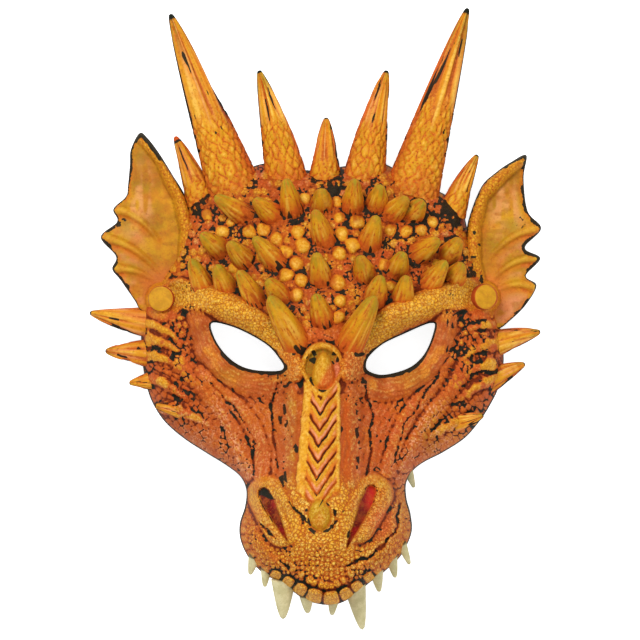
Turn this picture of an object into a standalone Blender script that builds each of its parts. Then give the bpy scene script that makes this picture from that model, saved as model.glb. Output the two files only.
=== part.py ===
"""Dragon mask: a half-face mask moulded in soft foam, lying face up on its rim.

The front looks along +Z, the top of the head points to +Y and +X is the viewer's right.
Sizes and places are in millimetres, and MM turns them into Blender's metres.
A place on the face is (x, y) as seen from the front, with y = 0 at the eye line.
"""

import math

import bmesh
import bpy
import numpy as np
from mathutils import Matrix, Vector
from mathutils.geometry import delaunay_2d_cdt

MM = 0.001

# Foam shell.
WALL = 6.0
EDGE_RADIUS = 11.0
CELL = 1.3
VOXEL = 1.1
KEPT_SHARE = 0.0205
RIM_DEPTH = 4.0
THINNEST = 0.05
GAP = 0.3
FLOOR_CUTTER = 600.0

# Height of the face above the rim: a column is a distance from the middle, a row is (y, heights).
COLUMNS = (0, 12, 25, 45, 65, 95)
ROWS = (
    (106, (20, 20, 19, 16, 12, 8)),
    (92, (29, 29, 28, 25, 20, 14)),
    (65, (46, 45, 44, 39, 31, 20)),
    (40, (58, 57, 55, 49, 39, 25)),
    (20, (65, 63, 59, 52, 42, 26)),
    (5, (68, 61, 49, 43, 37, 25)),
    (-10, (72, 63, 46, 40, 34, 23)),
    (-30, (84, 74, 52, 40, 30, 18)),
    (-50, (96, 87, 64, 44, 28, 14)),
    (-70, (106, 101, 84, 57, 30, 12)),
    (-85, (112, 109, 98, 74, 40, 14)),
    (-100, (114, 112, 103, 82, 50, 20)),
    (-115, (112, 110, 101, 80, 50, 20)),
    (-132, (106, 104, 96, 78, 50, 20)),
)
MIDLINE = ((-132, 3.5), (-115, 2.5), (-85, 0.5), (-40, 0.0), (-10, 1.5), (20, 1.5), (106, 1.0))
RIM = ((-130, 76.0), (-115, 68.0), (-100, 56.0), (-86, 43.0), (-72, 28.0), (-60, 12.0), (-48, 0.0))

# Outline of the head without horns, ears and spikes, from the crown round by the left.
HEAD = (
    (2.5, 93), (-6.5, 93.5), (-17.5, 94), (-29, 97), (-42.5, 92), (-55, 86), (-63, 82),
    (-69.5, 76), (-71, 64), (-75, 50), (-83, 38), (-91, 27), (-93, 16), (-93, 5),
    (-92, -9), (-89.5, -21), (-86, -29.5), (-80, -38), (-70, -46.5), (-58, -54), (-48, -60),
    (-41, -65.5), (-38, -72), (-38.5, -80), (-41, -88), (-41, -95), (-38.5, -102), (-34, -108.5),
    (-28.5, -113.5), (-22, -117), (-15.5, -121), (-8, -126), (0, -128.5), (8.5, -128.5),
    (17, -124.5), (25, -118), (32, -113), (40, -106), (44.5, -99), (47, -92), (46.5, -84),
    (44.5, -76), (44.5, -68.5), (48, -62.5), (54, -58), (64, -53), (75, -46), (83, -37),
    (88.5, -28.5), (93, -19), (95.5, -6), (94.5, 6), (93, 16), (91, 27), (86, 38), (81, 50),
    (77, 62), (73.5, 73), (65.5, 80.5), (58, 84), (46, 89.5), (33, 97), (21.5, 95.5), (12, 95.5),
)
LEFT_EYE = (
    (-55.5, 14), (-46, 12.5), (-35.5, 8), (-26, 2), (-20.5, -4.5), (-18.5, -8.5),
    (-22, -10.5), (-34, -10), (-42.5, -7), (-49.5, -1), (-54.5, 7),
)
RIGHT_EYE = (
    (57, 14), (52, 12.5), (43, 8.5), (32.5, 3.5), (25.5, -2.5), (23.5, -7),
    (25, -10.5), (32.5, -12.5), (44.5, -9.5), (51.5, -4.5), (56, 2.5), (59, 12.5),
)

# Rounded ridges on the face: path, half width and height.
RIDGES = {
    "left_brow": (
        ((-72, 29.5), (-66, 27.5), (-53.5, 25), (-41, 19), (-29.5, 10.5), (-21, 1.5), (-15, -9)), 9.0, 9.0),
    "right_brow": (
        ((75, 30), (70, 28), (61, 26), (51, 22), (39.5, 17), (30.5, 10.5), (21.5, 1.5), (17, -9)), 9.0, 9.0),
    "left_lid": (
        ((-63, 22), (-61, 12), (-58, 1), (-50, -10), (-38.5, -16.5), (-26, -17.5), (-17, -13)), 6.5, 6.0),
    "right_lid": (
        ((65, 20), (64, 10), (61, -1), (54, -11), (43.5, -17.5), (32, -19.5), (22.5, -15.5)), 6.5, 6.0),
    "left_fold": (((-62, -12), (-51, -21), (-41, -30), (-33.5, -40.5), (-29.5, -53), (-30, -64)), 5.0, 3.5),
    "right_fold": (((66, -3), (59, -15.5), (47.5, -30.5), (40, -43.5), (34.5, -61)), 5.0, 3.5),
    "left_cheek": (((-72, -6), (-61.5, -18), (-52.5, -28), (-45, -40), (-39.5, -52), (-37, -62)), 5.0, 3.0),
    "right_cheek": (((75, -8), (68, -20), (58, -32), (50, -44), (43, -58)), 5.0, 3.0),
    "left_nose": (((-14.5, -11), (-15, -30), (-15.5, -50), (-16, -66)), 4.0, 3.5),
    "right_nose": (((16.5, -7), (17, -25), (17.5, -45), (17.5, -66)), 4.0, 3.5),
}

# Bridge of the nose: a column with chevrons, a ring with a bead over it and a knob under it.
BRIDGE_TOP = -19.0
BRIDGE_END = -76.0
BRIDGE_HALF_WIDTH = 11.0
BRIDGE_FADE = 3.0
BRIDGE_HEIGHT = 2.0
CHEVRON_PITCH = 8.2
CHEVRON_DEPTH = 3.5
CHEVRON_RISE = 1.6
RING_PLACE = (1.2, -9.0)
RING_SIZE = (10.2, 12.0)
RING_HALF_WIDTH = 2.6
RING_HEIGHT = 4.5
BEAD_SIZE = (5.4, 9.2)
BEAD_HEIGHT = 6.5
KNOB_PLACE = (0.0, -83.0)
KNOB_SIZE = (7.0, 8.2)
KNOB_HEIGHT = 5.5

# Nostrils: blind slits in thick rims, each from its upper to its lower end.
NOSTRILS = (((-27, -73), (-18, -88)), ((27, -72), (18.5, -86)))
NOSTRIL_HALF_WIDTH = 4.0
NOSTRIL_DEPTH = 10.0
NOSTRIL_RIM = 6.0
NOSTRIL_RIM_HEIGHT = 6.5
NOSTRIL_SILL = 1.0

# Plates of the lip, on each side of its middle.
LIP_MIDDLE = (3.5, -128.5)
LIP_LENGTHS = (11.0, 9.5, 9.0, 7.5, 6.5, 6.0)
LIP_DEPTH = 11.0
LIP_HEIGHT = 5.0
LIP_SPACE = 1.0
LIP_STEP = 1.0

# Horns and spikes: root, bend and tip as (x, y, z), and the radius at the root.
HORNS = {
    "left_tall_horn": ((-43, 80, 18), (-58, 122, 20), (-77.5, 174, 9), 14.5),
    "left_middle_horn": ((-17, 86, 19), (-23, 118, 22), (-31.5, 144.5, 14), 11.5),
    "centre_horn": ((2.5, 86, 19), (3, 104, 22), (3.2, 120, 17), 9.0),
    "right_middle_horn": ((22.5, 86, 19), (27, 118, 22), (34.5, 144.5, 14), 11.5),
    "right_tall_horn": ((47, 80, 18), (59, 122, 20), (76.5, 177, 9), 14.5),
    "left_small_horn": ((-61, 76, 14), (-66, 92, 15), (-75, 110.5, 9), 8.5),
    "right_small_horn": ((68, 70, 14), (73, 86, 15), (81.5, 101, 9), 7.8),
    "left_spike_1": ((-86, 14, 13), (-103, 16, 15), (-119, 19.3, 9), 8.8),
    "left_spike_2": ((-84, -2, 12), (-99, -1, 13), (-111, -0.5, 9), 8.5),
    "left_spike_3": ((-82, -15, 13), (-91, -16.5, 14), (-98.5, -17, 11), 6.0),
    "left_spike_4": ((-70, -31.5, 22), (-77, -30, 28), (-85, -28.5, 28), 5.0),
    "right_spike_1": ((86, 2, 12), (101, 7, 13), (114, 9.5, 9), 8.0),
    "right_spike_2": ((84, -17, 12), (95, -12, 14), (106, -7.2, 10), 8.0),
    "right_spike_3": ((70, -37, 22), (77, -35.5, 29), (84, -33.5, 29), 5.5),
}
HORN_RINGS = 10
HORN_SIDES = 16
HORN_TAPER = 0.7
TIP_RADIUS = 0.9

# The two blunt spikes that make a frown over the nose.
FROWNS = {
    "left_frown": ((-6, -4, 62), (-16, 12, 74), (-26, 28, 73), 7.4),
    "right_frown": ((10, -5, 62), (20, 12, 74), (28, 28, 73), 7.4),
}
FROWN_TAPER = 0.45

# Thorns of the forehead, row by row from the top: root and tip.
THORNS = (
    ((-38.5, 69), (-54, 79)), ((-24, 69), (-34, 77.5)), ((-14, 71), (-17.5, 88)),
    ((1, 74), (0.5, 83)), ((16.5, 73), (18, 88)), ((29, 74), (31, 85)),
    ((36.5, 70), (45, 78.5)), ((47.5, 70), (53, 77)), ((2.5, 56), (-3, 72)),
    ((25, 54), (29, 69)), ((-50.5, 51), (-61, 60)), ((-38, 45.5), (-47, 55.5)),
    ((-22, 44.5), (-34, 58)), ((0.5, 36), (-2, 50)), ((23, 38), (20, 48.5)),
    ((39, 40.5), (42.5, 50.5)), ((50, 49), (61, 57)), ((65.5, 48), (72, 57.5)),
    ((-59, 31), (-66, 47)), ((-47.5, 31), (-53, 44)), ((-32.5, 25), (-41.5, 41)),
    ((-20, 27), (-27, 36.5)), ((28, 26.5), (31, 38.5)), ((42, 25), (44, 38.5)),
    ((55.5, 33), (64.5, 46)), ((68.5, 36.5), (73, 45)), ((1.5, 16), (-2.5, 29)),
)
THORN_RADIUS = 6.4
THORN_TIP_RADIUS = 1.8
THORN_RISE = 9.0
THORN_SINK = 3.0
THORN_SAG = 2.2
THORN_TAPER = 0.5
THORN_RINGS = 6
THORN_SIDES = 12

# Round nodules between the thorns, in staggered rows.
NODULE_PITCH = 9.0
NODULE_RADIUS = 4.6
NODULE_HEIGHT = 4.0
NODULE_CLEARANCE = 5.5
NODULE_START = (-80.0, 0.0)
NODULE_FIELD = (
    (2, 8), (-14, 20), (-36, 30), (-66, 38), (-66, 60), (-60, 76), (-30, 84), (0, 86),
    (32, 84), (60, 76), (70, 62), (72, 40), (38, 30), (18, 20),
)

# Ears: outline, root and tips of the ribs, and the path of the raised inner edge.
LEFT_EAR = (
    (-84, 20), (-72, 30), (-66, 46), (-65, 62), (-69.5, 79), (-76.5, 91), (-83, 101.5), (-89, 109.5),
    (-93.5, 112.5), (-98, 104), (-98.5, 96), (-99.5, 85), (-100.5, 79.5), (-107, 73), (-105, 66.5),
    (-113.5, 58.5), (-105.5, 48.5), (-107.5, 42), (-103, 36), (-96, 26), (-92, 20),
)
RIGHT_EAR = (
    (86, 14), (76, 26), (75, 42), (75.5, 56), (77, 68), (83.5, 84.5), (91, 92), (99, 97.5),
    (107, 101), (105.5, 89), (107.5, 72), (114.5, 63), (106, 53), (114, 47.5), (106.5, 38.5),
    (112, 33.5), (106.5, 23.5), (98.5, 15.5), (92, 11),
)
EARS = {
    "left": (LEFT_EAR, (-82, 32), ((-105, 72), (-111, 58), (-105, 42)),
             ((-93, 110), (-82, 97), (-72, 80), (-68, 62), (-69, 46), (-75, 33))),
    "right": (RIGHT_EAR, (85, 28), ((112, 62.5), (111, 47.5), (109, 33)),
              ((105, 99), (94, 91), (83, 80), (79, 64), (79, 46), (82, 32))),
}
EAR_THICKNESS = 4.0
EAR_ROOT_Z = 19.0
EAR_TIP_Z = 10.0
EAR_RIB = 3.5
EAR_RIB_HEIGHT = 3.0
EAR_ROLL = 6.0
EAR_ROLL_HEIGHT = 6.0

# Round strap buttons on the temples: place and outward tilt in degrees, with a foam post behind each.
BUTTONS = {"left": ((-81.5, 26.5), 8.0), "right": ((84.5, 27.5), 22.0)}
BUTTON_RADIUS = 6.7
BUTTON_THICKNESS = 6.0
BUTTON_ROUND = 1.2
BUTTON_ROUND_STEPS = 2
BUTTON_TOP_Z = 35.5
BUTTON_SHOWS = 3.0
SEAT_RADIUS = 8.0
SEAT_SLOPE = 2.0
BUTTON_SIDES = 32
POST_RADIUS = 9.5

# Ivory teeth: place at the lip's edge, tip, radius and height above the rim's plane.
TEETH = {
    "left_front_tooth": ((-6.6, -126.5), (-6.2, -132.5), 3.9, 88.0),
    "right_front_tooth": ((6.6, -127.5), (6.0, -133.5), 3.3, 88.0),
    "left_fang": ((-18.5, -120.0), (-18.7, -135.6), 6.2, 86.0),
    "right_fang": ((18.3, -123.0), (21.5, -140.9), 5.6, 86.0),
    "left_side_tooth_1": ((-27.5, -113.5), (-28.0, -119.5), 2.9, 82.0),
    "left_side_tooth_2": ((-34.0, -107.5), (-35.5, -113.5), 3.2, 78.0),
    "right_side_tooth_1": ((29.0, -114.5), (30.0, -122.0), 3.6, 82.0),
    "right_side_tooth_2": ((36.8, -108.0), (38.2, -115.0), 3.2, 78.0),
    "right_side_tooth_3": ((42.8, -101.5), (45.5, -108.5), 2.6, 73.0),
    "right_back_tooth": ((46.0, -63.5), (48.5, -71.0), 2.8, 24.0),
}
TOOTH_ROOT = 4.5
TOOTH_RINGS = 5
TOOTH_SIDES = 12
TOOTH_TAPER = 0.6
TOOTH_TIP = 0.5
TOOTH_FALL = 2.0

FOAM_COLOUR = (0.60, 0.24, 0.07)
IVORY_COLOUR = (0.56, 0.53, 0.30)
BUTTON_COLOUR = (0.62, 0.36, 0.08)


def clear_scene():
    for thing in list(bpy.data.objects):
        bpy.data.objects.remove(thing, do_unlink=True)


def make_collection(name, hidden):
    group = bpy.data.collections.new(name)
    bpy.context.scene.collection.children.link(group)
    group.hide_render = hidden
    return group


def make_material(name, colour, roughness):
    material = bpy.data.materials.new(name)
    material.use_nodes = True
    shader = material.node_tree.nodes["Principled BSDF"]
    shader.inputs["Base Color"].default_value = (*colour, 1.0)
    shader.inputs["Roughness"].default_value = roughness
    shader.inputs["Metallic"].default_value = 0.0
    return material


def object_from(name, mesh, collection):
    thing = bpy.data.objects.new(name, mesh)
    collection.objects.link(thing)
    return thing


def curve_through(knots, values, at):
    """A smooth curve through the values at the knots, read at each place. The last axis holds the knots."""
    knots = np.asarray(knots, float)
    values = np.asarray(values, float)
    slopes = np.gradient(values, knots, axis=-1)
    left = np.clip(np.searchsorted(knots, at) - 1, 0, len(knots) - 2)
    step = knots[left + 1] - knots[left]
    t = np.clip((at - knots[left]) / step, 0, 1)

    def pick(table, index):
        if table.ndim == 1:
            return table[index]
        return np.take_along_axis(table, index[:, None], axis=1)[:, 0]

    start, end = pick(values, left), pick(values, left + 1)
    rise, fall = pick(slopes, left) * step, pick(slopes, left + 1) * step
    return (
        (2 * t**3 - 3 * t**2 + 1) * start
        + (t**3 - 2 * t**2 + t) * rise
        + (3 * t**2 - 2 * t**3) * end
        + (t**3 - t**2) * fall
    )


def closed_curve(points, spacing):
    """Points at about the spacing along a smooth closed curve through the outline's points."""
    points = np.asarray(points, float)
    found = []
    for i in range(len(points)):
        before, start, end, after = (points[(i + k) % len(points)] for k in (-1, 0, 1, 2))
        steps = max(1, round(np.linalg.norm(end - start) / spacing))
        for t in np.arange(steps) / steps:
            bend = (2 * before - 5 * start + 4 * end - after) * t**2
            bend += (3 * start - before - 3 * end + after) * t**3
            found.append(start + 0.5 * ((end - before) * t + bend))
    return np.array(found)


def path_distance(x, y, path):
    """Distance from each place to the path."""
    nearest = np.full(np.shape(x), np.inf)
    for (ax, ay), (bx, by) in zip(path[:-1], path[1:]):
        dx, dy = bx - ax, by - ay
        t = np.clip(((x - ax) * dx + (y - ay) * dy) / (dx * dx + dy * dy), 0, 1)
        nearest = np.minimum(nearest, np.hypot(x - ax - t * dx, y - ay - t * dy))
    return nearest


def inside(x, y, loop):
    """True for each place that lies inside the closed loop."""
    within = np.zeros(np.shape(x), bool)
    for (ax, ay), (bx, by) in zip(loop, np.roll(loop, -1, axis=0)):
        if ay == by:
            continue
        spans = (ay > y) != (by > y)
        within ^= spans & (x < ax + (y - ay) * (bx - ax) / (by - ay))
    return within


def depth_within(x, y, loop):
    """Distance of each place from the loop, and 0 outside it."""
    edge = path_distance(x, y, np.vstack([loop, loop[:1]]))
    return np.where(inside(x, y, loop), edge, 0.0)


def dome(distance, reach):
    """A round bump: 1 in its middle and 0 at its reach."""
    return np.clip(1 - (distance / reach) ** 2, 0, 1)


def quarter_round(depth, radius):
    """0 at an edge, 1 from the radius inwards, with the profile of a quarter circle."""
    return np.sqrt(1 - np.clip(1 - depth / radius, 0, 1) ** 2)


def face_height(x, y):
    """The smooth form of the face, without its relief."""
    middle = np.interp(y, *zip(*MIDLINE))
    rows = sorted(ROWS)
    across = np.array([curve_through(COLUMNS, heights, np.abs(x - middle)) for _, heights in rows]).T
    return curve_through([row[0] for row in rows], across, y)


def rim_height(y):
    return np.interp(y, *zip(*RIM))


def oval(x, y, place, size):
    """Distance from the place in shares of the oval's half sizes."""
    return np.hypot((x - place[0]) / size[0], (y - place[1]) / size[1])


def lip_plates():
    """Middle, outward direction and length of each plate, walking both ways round the lip."""
    edge = closed_curve(HEAD, LIP_STEP)
    start = int(np.argmin(np.hypot(*(edge - LIP_MIDDLE).T)))
    plates = []
    for way in (1, -1):
        walked = 0.0
        for length in LIP_LENGTHS:
            place = start + way * round((walked + length / 2) / LIP_STEP)
            here, ahead = edge[place % len(edge)], edge[(place + 2) % len(edge)]
            along = (ahead - here) / np.linalg.norm(ahead - here)
            outward = np.array([along[1], -along[0]])
            plates.append((here - outward * LIP_DEPTH / 2, along, outward, length))
            walked += length
    return plates


def nodule_places():
    """Middles of the nodules: a staggered lattice that keeps clear of the thorns' roots."""
    right, top = np.max(NODULE_FIELD, axis=0)
    rows = np.arange(NODULE_START[1], top, NODULE_PITCH * math.sqrt(3) / 2)
    columns = np.arange(NODULE_START[0], right, NODULE_PITCH)
    places = np.array([(x + (row % 2) * NODULE_PITCH / 2, y) for row, y in enumerate(rows) for x in columns])
    kept = inside(*places.T, np.array(NODULE_FIELD))
    for root, _ in THORNS:
        kept &= np.hypot(*(places - root).T) > NODULE_CLEARANCE
    return places[kept]


def relief(x, y):
    """Height of the carving over the smooth face."""
    raised = np.zeros(np.shape(x))
    for place in nodule_places():
        away = np.hypot(x - place[0], y - place[1])
        raised = np.maximum(raised, NODULE_HEIGHT * np.sqrt(dome(away, NODULE_RADIUS)))
    for path, half_width, height in RIDGES.values():
        raised = np.maximum(raised, height * dome(path_distance(x, y, path), half_width))

    on_bridge = np.clip((BRIDGE_TOP - y) / BRIDGE_FADE, 0, 1) * np.clip((y - BRIDGE_END) / BRIDGE_FADE, 0, 1)
    on_bridge = on_bridge * dome(np.abs(x), BRIDGE_HALF_WIDTH) ** 0.5
    turns = (y - CHEVRON_RISE * np.abs(x)) / CHEVRON_PITCH
    chevron = BRIDGE_HEIGHT + CHEVRON_DEPTH * np.sin(np.pi * turns) ** 2
    raised = np.maximum(raised, chevron * on_bridge)

    ring = np.abs(oval(x, y, RING_PLACE, RING_SIZE) - 1) * RING_SIZE[0]
    raised = np.where(oval(x, y, RING_PLACE, RING_SIZE) < 1, 0, raised)
    raised = np.maximum(raised, RING_HEIGHT * dome(ring, RING_HALF_WIDTH))
    raised = np.maximum(raised, BEAD_HEIGHT * np.sqrt(dome(oval(x, y, RING_PLACE, BEAD_SIZE), 1)))
    raised = np.maximum(raised, KNOB_HEIGHT * np.sqrt(dome(oval(x, y, KNOB_PLACE, KNOB_SIZE), 1)))

    for slit in NOSTRILS:
        away = path_distance(x, y, slit)
        rim = np.abs(away - NOSTRIL_HALF_WIDTH - NOSTRIL_RIM / 2)
        raised = np.maximum(raised, NOSTRIL_RIM_HEIGHT * dome(rim, NOSTRIL_RIM))
        raised = np.where(away < NOSTRIL_HALF_WIDTH, np.minimum(raised, NOSTRIL_SILL), raised)
        raised = raised - NOSTRIL_DEPTH * dome(away, NOSTRIL_HALF_WIDTH)

    for middle, along, outward, length in lip_plates():
        u = (x - middle[0]) * along[0] + (y - middle[1]) * along[1]
        v = (x - middle[0]) * outward[0] + (y - middle[1]) * outward[1]
        share = np.sqrt((2 * u / (length - LIP_SPACE)) ** 4 + (2 * v / LIP_DEPTH) ** 4)
        raised = np.maximum(raised, LIP_HEIGHT * np.sqrt(np.clip(1 - share, 0, 1)))
    return raised


def shell_heights(x, y):
    """Top and bottom of the foam shell at each place inside the head's outline."""
    depth = depth_within(x, y, closed_curve(HEAD, CELL))
    rim = rim_height(y)
    floor = np.where(rim > 0, rim, 0.0) - RIM_DEPTH * np.clip(1 - rim / RIM_DEPTH, 0, 1)
    smooth = face_height(x, y)
    top = rim + (smooth + relief(x, y) - rim) * quarter_round(depth, EDGE_RADIUS)
    for place, _ in BUTTONS.values():
        away = np.hypot(x - place[0], y - place[1])
        seat = BUTTON_TOP_Z - BUTTON_SHOWS + SEAT_SLOPE * np.maximum(away - SEAT_RADIUS, 0)
        top = np.minimum(top, seat)
    inner = smooth - WALL
    for slit in NOSTRILS:
        inner = inner - NOSTRIL_DEPTH * dome(path_distance(x, y, slit), 3 * NOSTRIL_HALF_WIDTH)
    hollow = floor + (inner - floor) * quarter_round(np.maximum(depth - WALL, 0), EDGE_RADIUS)
    return top, np.maximum(hollow, floor)


def ear_heights(outline, root, tips, roll):
    """Function that gives the top and bottom of an ear's sheet."""
    reach = max(np.hypot(px - root[0], py - root[1]) for px, py in outline)
    edge = closed_curve(outline, CELL)

    def heights(x, y):
        share = np.hypot(x - root[0], y - root[1]) / reach
        middle = EAR_ROOT_Z + (EAR_TIP_Z - EAR_ROOT_Z) * share
        raised = EAR_ROLL_HEIGHT * dome(path_distance(x, y, roll), EAR_ROLL)
        for tip in tips:
            raised = np.maximum(raised, EAR_RIB_HEIGHT * dome(path_distance(x, y, (root, tip)), EAR_RIB))
        rounded = quarter_round(depth_within(x, y, edge), EAR_THICKNESS / 2)
        half = EAR_THICKNESS / 2 * rounded
        return middle + half + raised * rounded, middle - half

    return heights


def slab(name, outline, holes, heights, collection):
    """A closed sheet inside the outline, between the top and the bottom that the function gives."""
    loops = [closed_curve(outline, CELL)] + [closed_curve(hole, CELL) for hole in holes]
    low, high = loops[0].min(axis=0), loops[0].max(axis=0)
    grid = np.meshgrid(np.arange(low[0], high[0], CELL), np.arange(low[1], high[1], CELL))
    x, y = (values.ravel() for values in grid)
    kept = inside(x, y, loops[0])
    for loop in loops:
        kept &= path_distance(x, y, np.vstack([loop, loop[:1]])) > CELL / 2
    for loop in loops[1:]:
        kept &= ~inside(x, y, loop)
    points = np.vstack([*loops, np.column_stack([x[kept], y[kept]])])
    edges = []
    start = 0
    for loop in loops:
        edges += [(start + i, start + (i + 1) % len(loop)) for i in range(len(loop))]
        start += len(loop)
    flat, _, faces, _, _, _ = delaunay_2d_cdt([Vector(p) for p in points], edges, [], 0, 1e-5)
    flat = np.array([tuple(p) for p in flat])
    faces = np.array(faces)
    centre = flat[faces].mean(axis=1)
    wanted = inside(centre[:, 0], centre[:, 1], loops[0])
    for loop in loops[1:]:
        wanted &= ~inside(centre[:, 0], centre[:, 1], loop)
    faces = faces[wanted]
    top, bottom = heights(flat[:, 0], flat[:, 1])
    top = np.maximum(top, bottom + THINNEST)
    count = len(flat)
    places = np.vstack([np.column_stack([flat, top]), np.column_stack([flat, bottom])]) * MM
    sides = boundary_sides(faces, count)
    mesh = bpy.data.meshes.new(name)
    mesh.from_pydata(places.tolist(), [], [*faces.tolist(), *(faces[:, ::-1] + count).tolist(), *sides])
    thing = object_from(name, mesh, collection)
    tidy_mesh(mesh)
    return thing


def boundary_sides(faces, count):
    """Quads that join the top's open edges to the bottom's."""
    ends = np.concatenate([faces[:, [0, 1]], faces[:, [1, 2]], faces[:, [2, 0]]])
    here = set(map(tuple, ends.tolist()))
    return [(b, a, a + count, b + count) for a, b in here if (b, a) not in here]


def tidy_mesh(mesh):
    """Removes loose points, welds coincident ones and turns the faces outwards."""
    work = bmesh.new()
    work.from_mesh(mesh)
    bmesh.ops.delete(work, geom=[v for v in work.verts if not v.link_faces], context="VERTS")
    bmesh.ops.remove_doubles(work, verts=work.verts, dist=1e-6)
    bmesh.ops.recalc_face_normals(work, faces=work.faces)
    work.to_mesh(mesh)
    work.free()


def tusk(name, root, bend, tip, radii, rings, sides, collection):
    """A closed round spike along a curve from root to tip, with a radius for each ring."""
    root, bend, tip = (Vector(p) * MM for p in (root, bend, tip))
    curve = bpy.data.curves.new(name, "CURVE")
    curve.dimensions = "3D"
    curve.bevel_depth = MM
    curve.bevel_resolution = max(0, sides // 4 - 1)
    curve.use_fill_caps = True
    spline = curve.splines.new("POLY")
    spline.points.add(rings - 1)
    for i in range(rings):
        t = i / (rings - 1)
        place = root * (1 - t) ** 2 + bend * 2 * t * (1 - t) + tip * t**2
        spline.points[i].co = (*place, 1.0)
        spline.points[i].radius = radii[i]
    guide = object_from(name + "_guide", curve, collection)
    bpy.context.view_layer.update()
    graph = bpy.context.evaluated_depsgraph_get()
    mesh = bpy.data.meshes.new_from_object(guide.evaluated_get(graph))
    mesh.name = name
    bpy.data.objects.remove(guide)
    tidy_mesh(mesh)
    return object_from(name, mesh, collection)


def taper(radius, tip_radius, rings, power):
    """Radii from the root to the tip of a spike."""
    return [tip_radius + (radius - tip_radius) * (1 - i / (rings - 1)) ** power for i in range(rings)]


def surface_point(place, lift):
    x, y = (np.array([value], float) for value in place)
    return (*place, float(face_height(x, y)[0]) + lift)


def make_thorn(number, root, tip, collection):
    start = surface_point(root, -THORN_SINK)
    end = surface_point(root, THORN_RISE)
    peak = (*tip, end[2])
    bend = ((root[0] + tip[0]) / 2, (root[1] + tip[1]) / 2, end[2] - THORN_SAG)
    radii = taper(THORN_RADIUS, THORN_TIP_RADIUS, THORN_RINGS, THORN_TAPER)
    return tusk(f"thorn_{number}", start, bend, peak, radii, THORN_RINGS, THORN_SIDES, collection)


def make_post(side, place, collection):
    """Solid foam behind a strap button, down to the rim's plane."""
    top = BUTTON_TOP_Z - BUTTON_THICKNESS
    mesh = bpy.data.meshes.new(f"{side}_post")
    work = bmesh.new()
    middle = Matrix.Translation(Vector((*place, (top - RIM_DEPTH) / 2)) * MM)
    bmesh.ops.create_cone(
        work, cap_ends=True, segments=BUTTON_SIDES, radius1=POST_RADIUS * MM, radius2=POST_RADIUS * MM,
        depth=(top + RIM_DEPTH) * MM, matrix=middle)
    work.to_mesh(mesh)
    work.free()
    return object_from(f"{side}_post", mesh, collection)


def joined(name, things, collection):
    """One object that holds the meshes of all the things, which are removed."""
    work = bmesh.new()
    for thing in things:
        work.from_mesh(thing.data)
        bpy.data.objects.remove(thing)
    mesh = bpy.data.meshes.new(name)
    work.to_mesh(mesh)
    work.free()
    return object_from(name, mesh, collection)


def make_button(name, side, growth, collection):
    """A round disc with a softened edge, let into the temple. Growth makes its pocket's cutter."""
    place, tilt = BUTTONS[side]
    thing_mesh = bpy.data.meshes.new(name)
    work = bmesh.new()
    bmesh.ops.create_cone(
        work, cap_ends=True, segments=BUTTON_SIDES, radius1=(BUTTON_RADIUS + growth) * MM,
        radius2=(BUTTON_RADIUS + growth) * MM, depth=(BUTTON_THICKNESS + 2 * growth) * MM)
    work.to_mesh(thing_mesh)
    work.free()
    thing = object_from(name, thing_mesh, collection)
    thing.location = Vector((*place, BUTTON_TOP_Z - BUTTON_THICKNESS / 2)) * MM
    thing.rotation_euler = (0, math.radians(math.copysign(tilt, place[0])), 0)
    if growth == 0:
        edge = thing.modifiers.new("soft edge", "BEVEL")
        edge.width = BUTTON_ROUND * MM
        edge.segments = BUTTON_ROUND_STEPS
        thing_mesh.shade_smooth()
    return thing


def make_tooth(name, tooth, growth, collection):
    """A conical tooth from inside the lip to its tip. Growth makes its socket's cutter."""
    edge, tip, radius, height = TEETH[tooth]
    edge, tip = Vector((*edge, height)), Vector((*tip, height - TOOTH_FALL))
    along = (tip - edge).normalized()
    root = edge - along * (TOOTH_ROOT + growth)
    bend = (root + tip) / 2
    radii = [r + growth for r in taper(radius, TOOTH_TIP, TOOTH_RINGS, TOOTH_TAPER)]
    return tusk(name, root, bend, tip + along * growth, radii, TOOTH_RINGS, TOOTH_SIDES, collection)


def settle_on_origin(things):
    """Hangs the things on an empty that puts the origin under the middle of their bounding box."""
    bpy.context.view_layer.update()
    graph = bpy.context.evaluated_depsgraph_get()
    corners = []
    for thing in things:
        if not thing.hide_render:
            seen = thing.evaluated_get(graph)
            corners += [tuple(seen.matrix_world @ Vector(corner)) for corner in seen.bound_box]
    low, high = np.min(corners, axis=0), np.max(corners, axis=0)
    frame = object_from("frame", None, bpy.context.scene.collection)
    frame.location = (-(low[0] + high[0]) / 2, -(low[1] + high[1]) / 2, 0)
    for thing in things:
        thing.parent = frame


def apply_modifiers(thing):
    """Puts the modifiers' result into the mesh itself."""
    bpy.context.view_layer.update()
    graph = bpy.context.evaluated_depsgraph_get()
    mesh = bpy.data.meshes.new_from_object(thing.evaluated_get(graph))
    thing.modifiers.clear()
    thing.data = mesh


def make_floor_cutter(collection):
    """A block under the rim's plane, which trims the rim flat."""
    mesh = bpy.data.meshes.new("below_rim")
    work = bmesh.new()
    down = Matrix.Translation((0, 0, -FLOOR_CUTTER / 2 * MM))
    bmesh.ops.create_cube(work, size=FLOOR_CUTTER * MM, matrix=down)
    work.to_mesh(mesh)
    work.free()
    return object_from("below_rim", mesh, collection)


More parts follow.
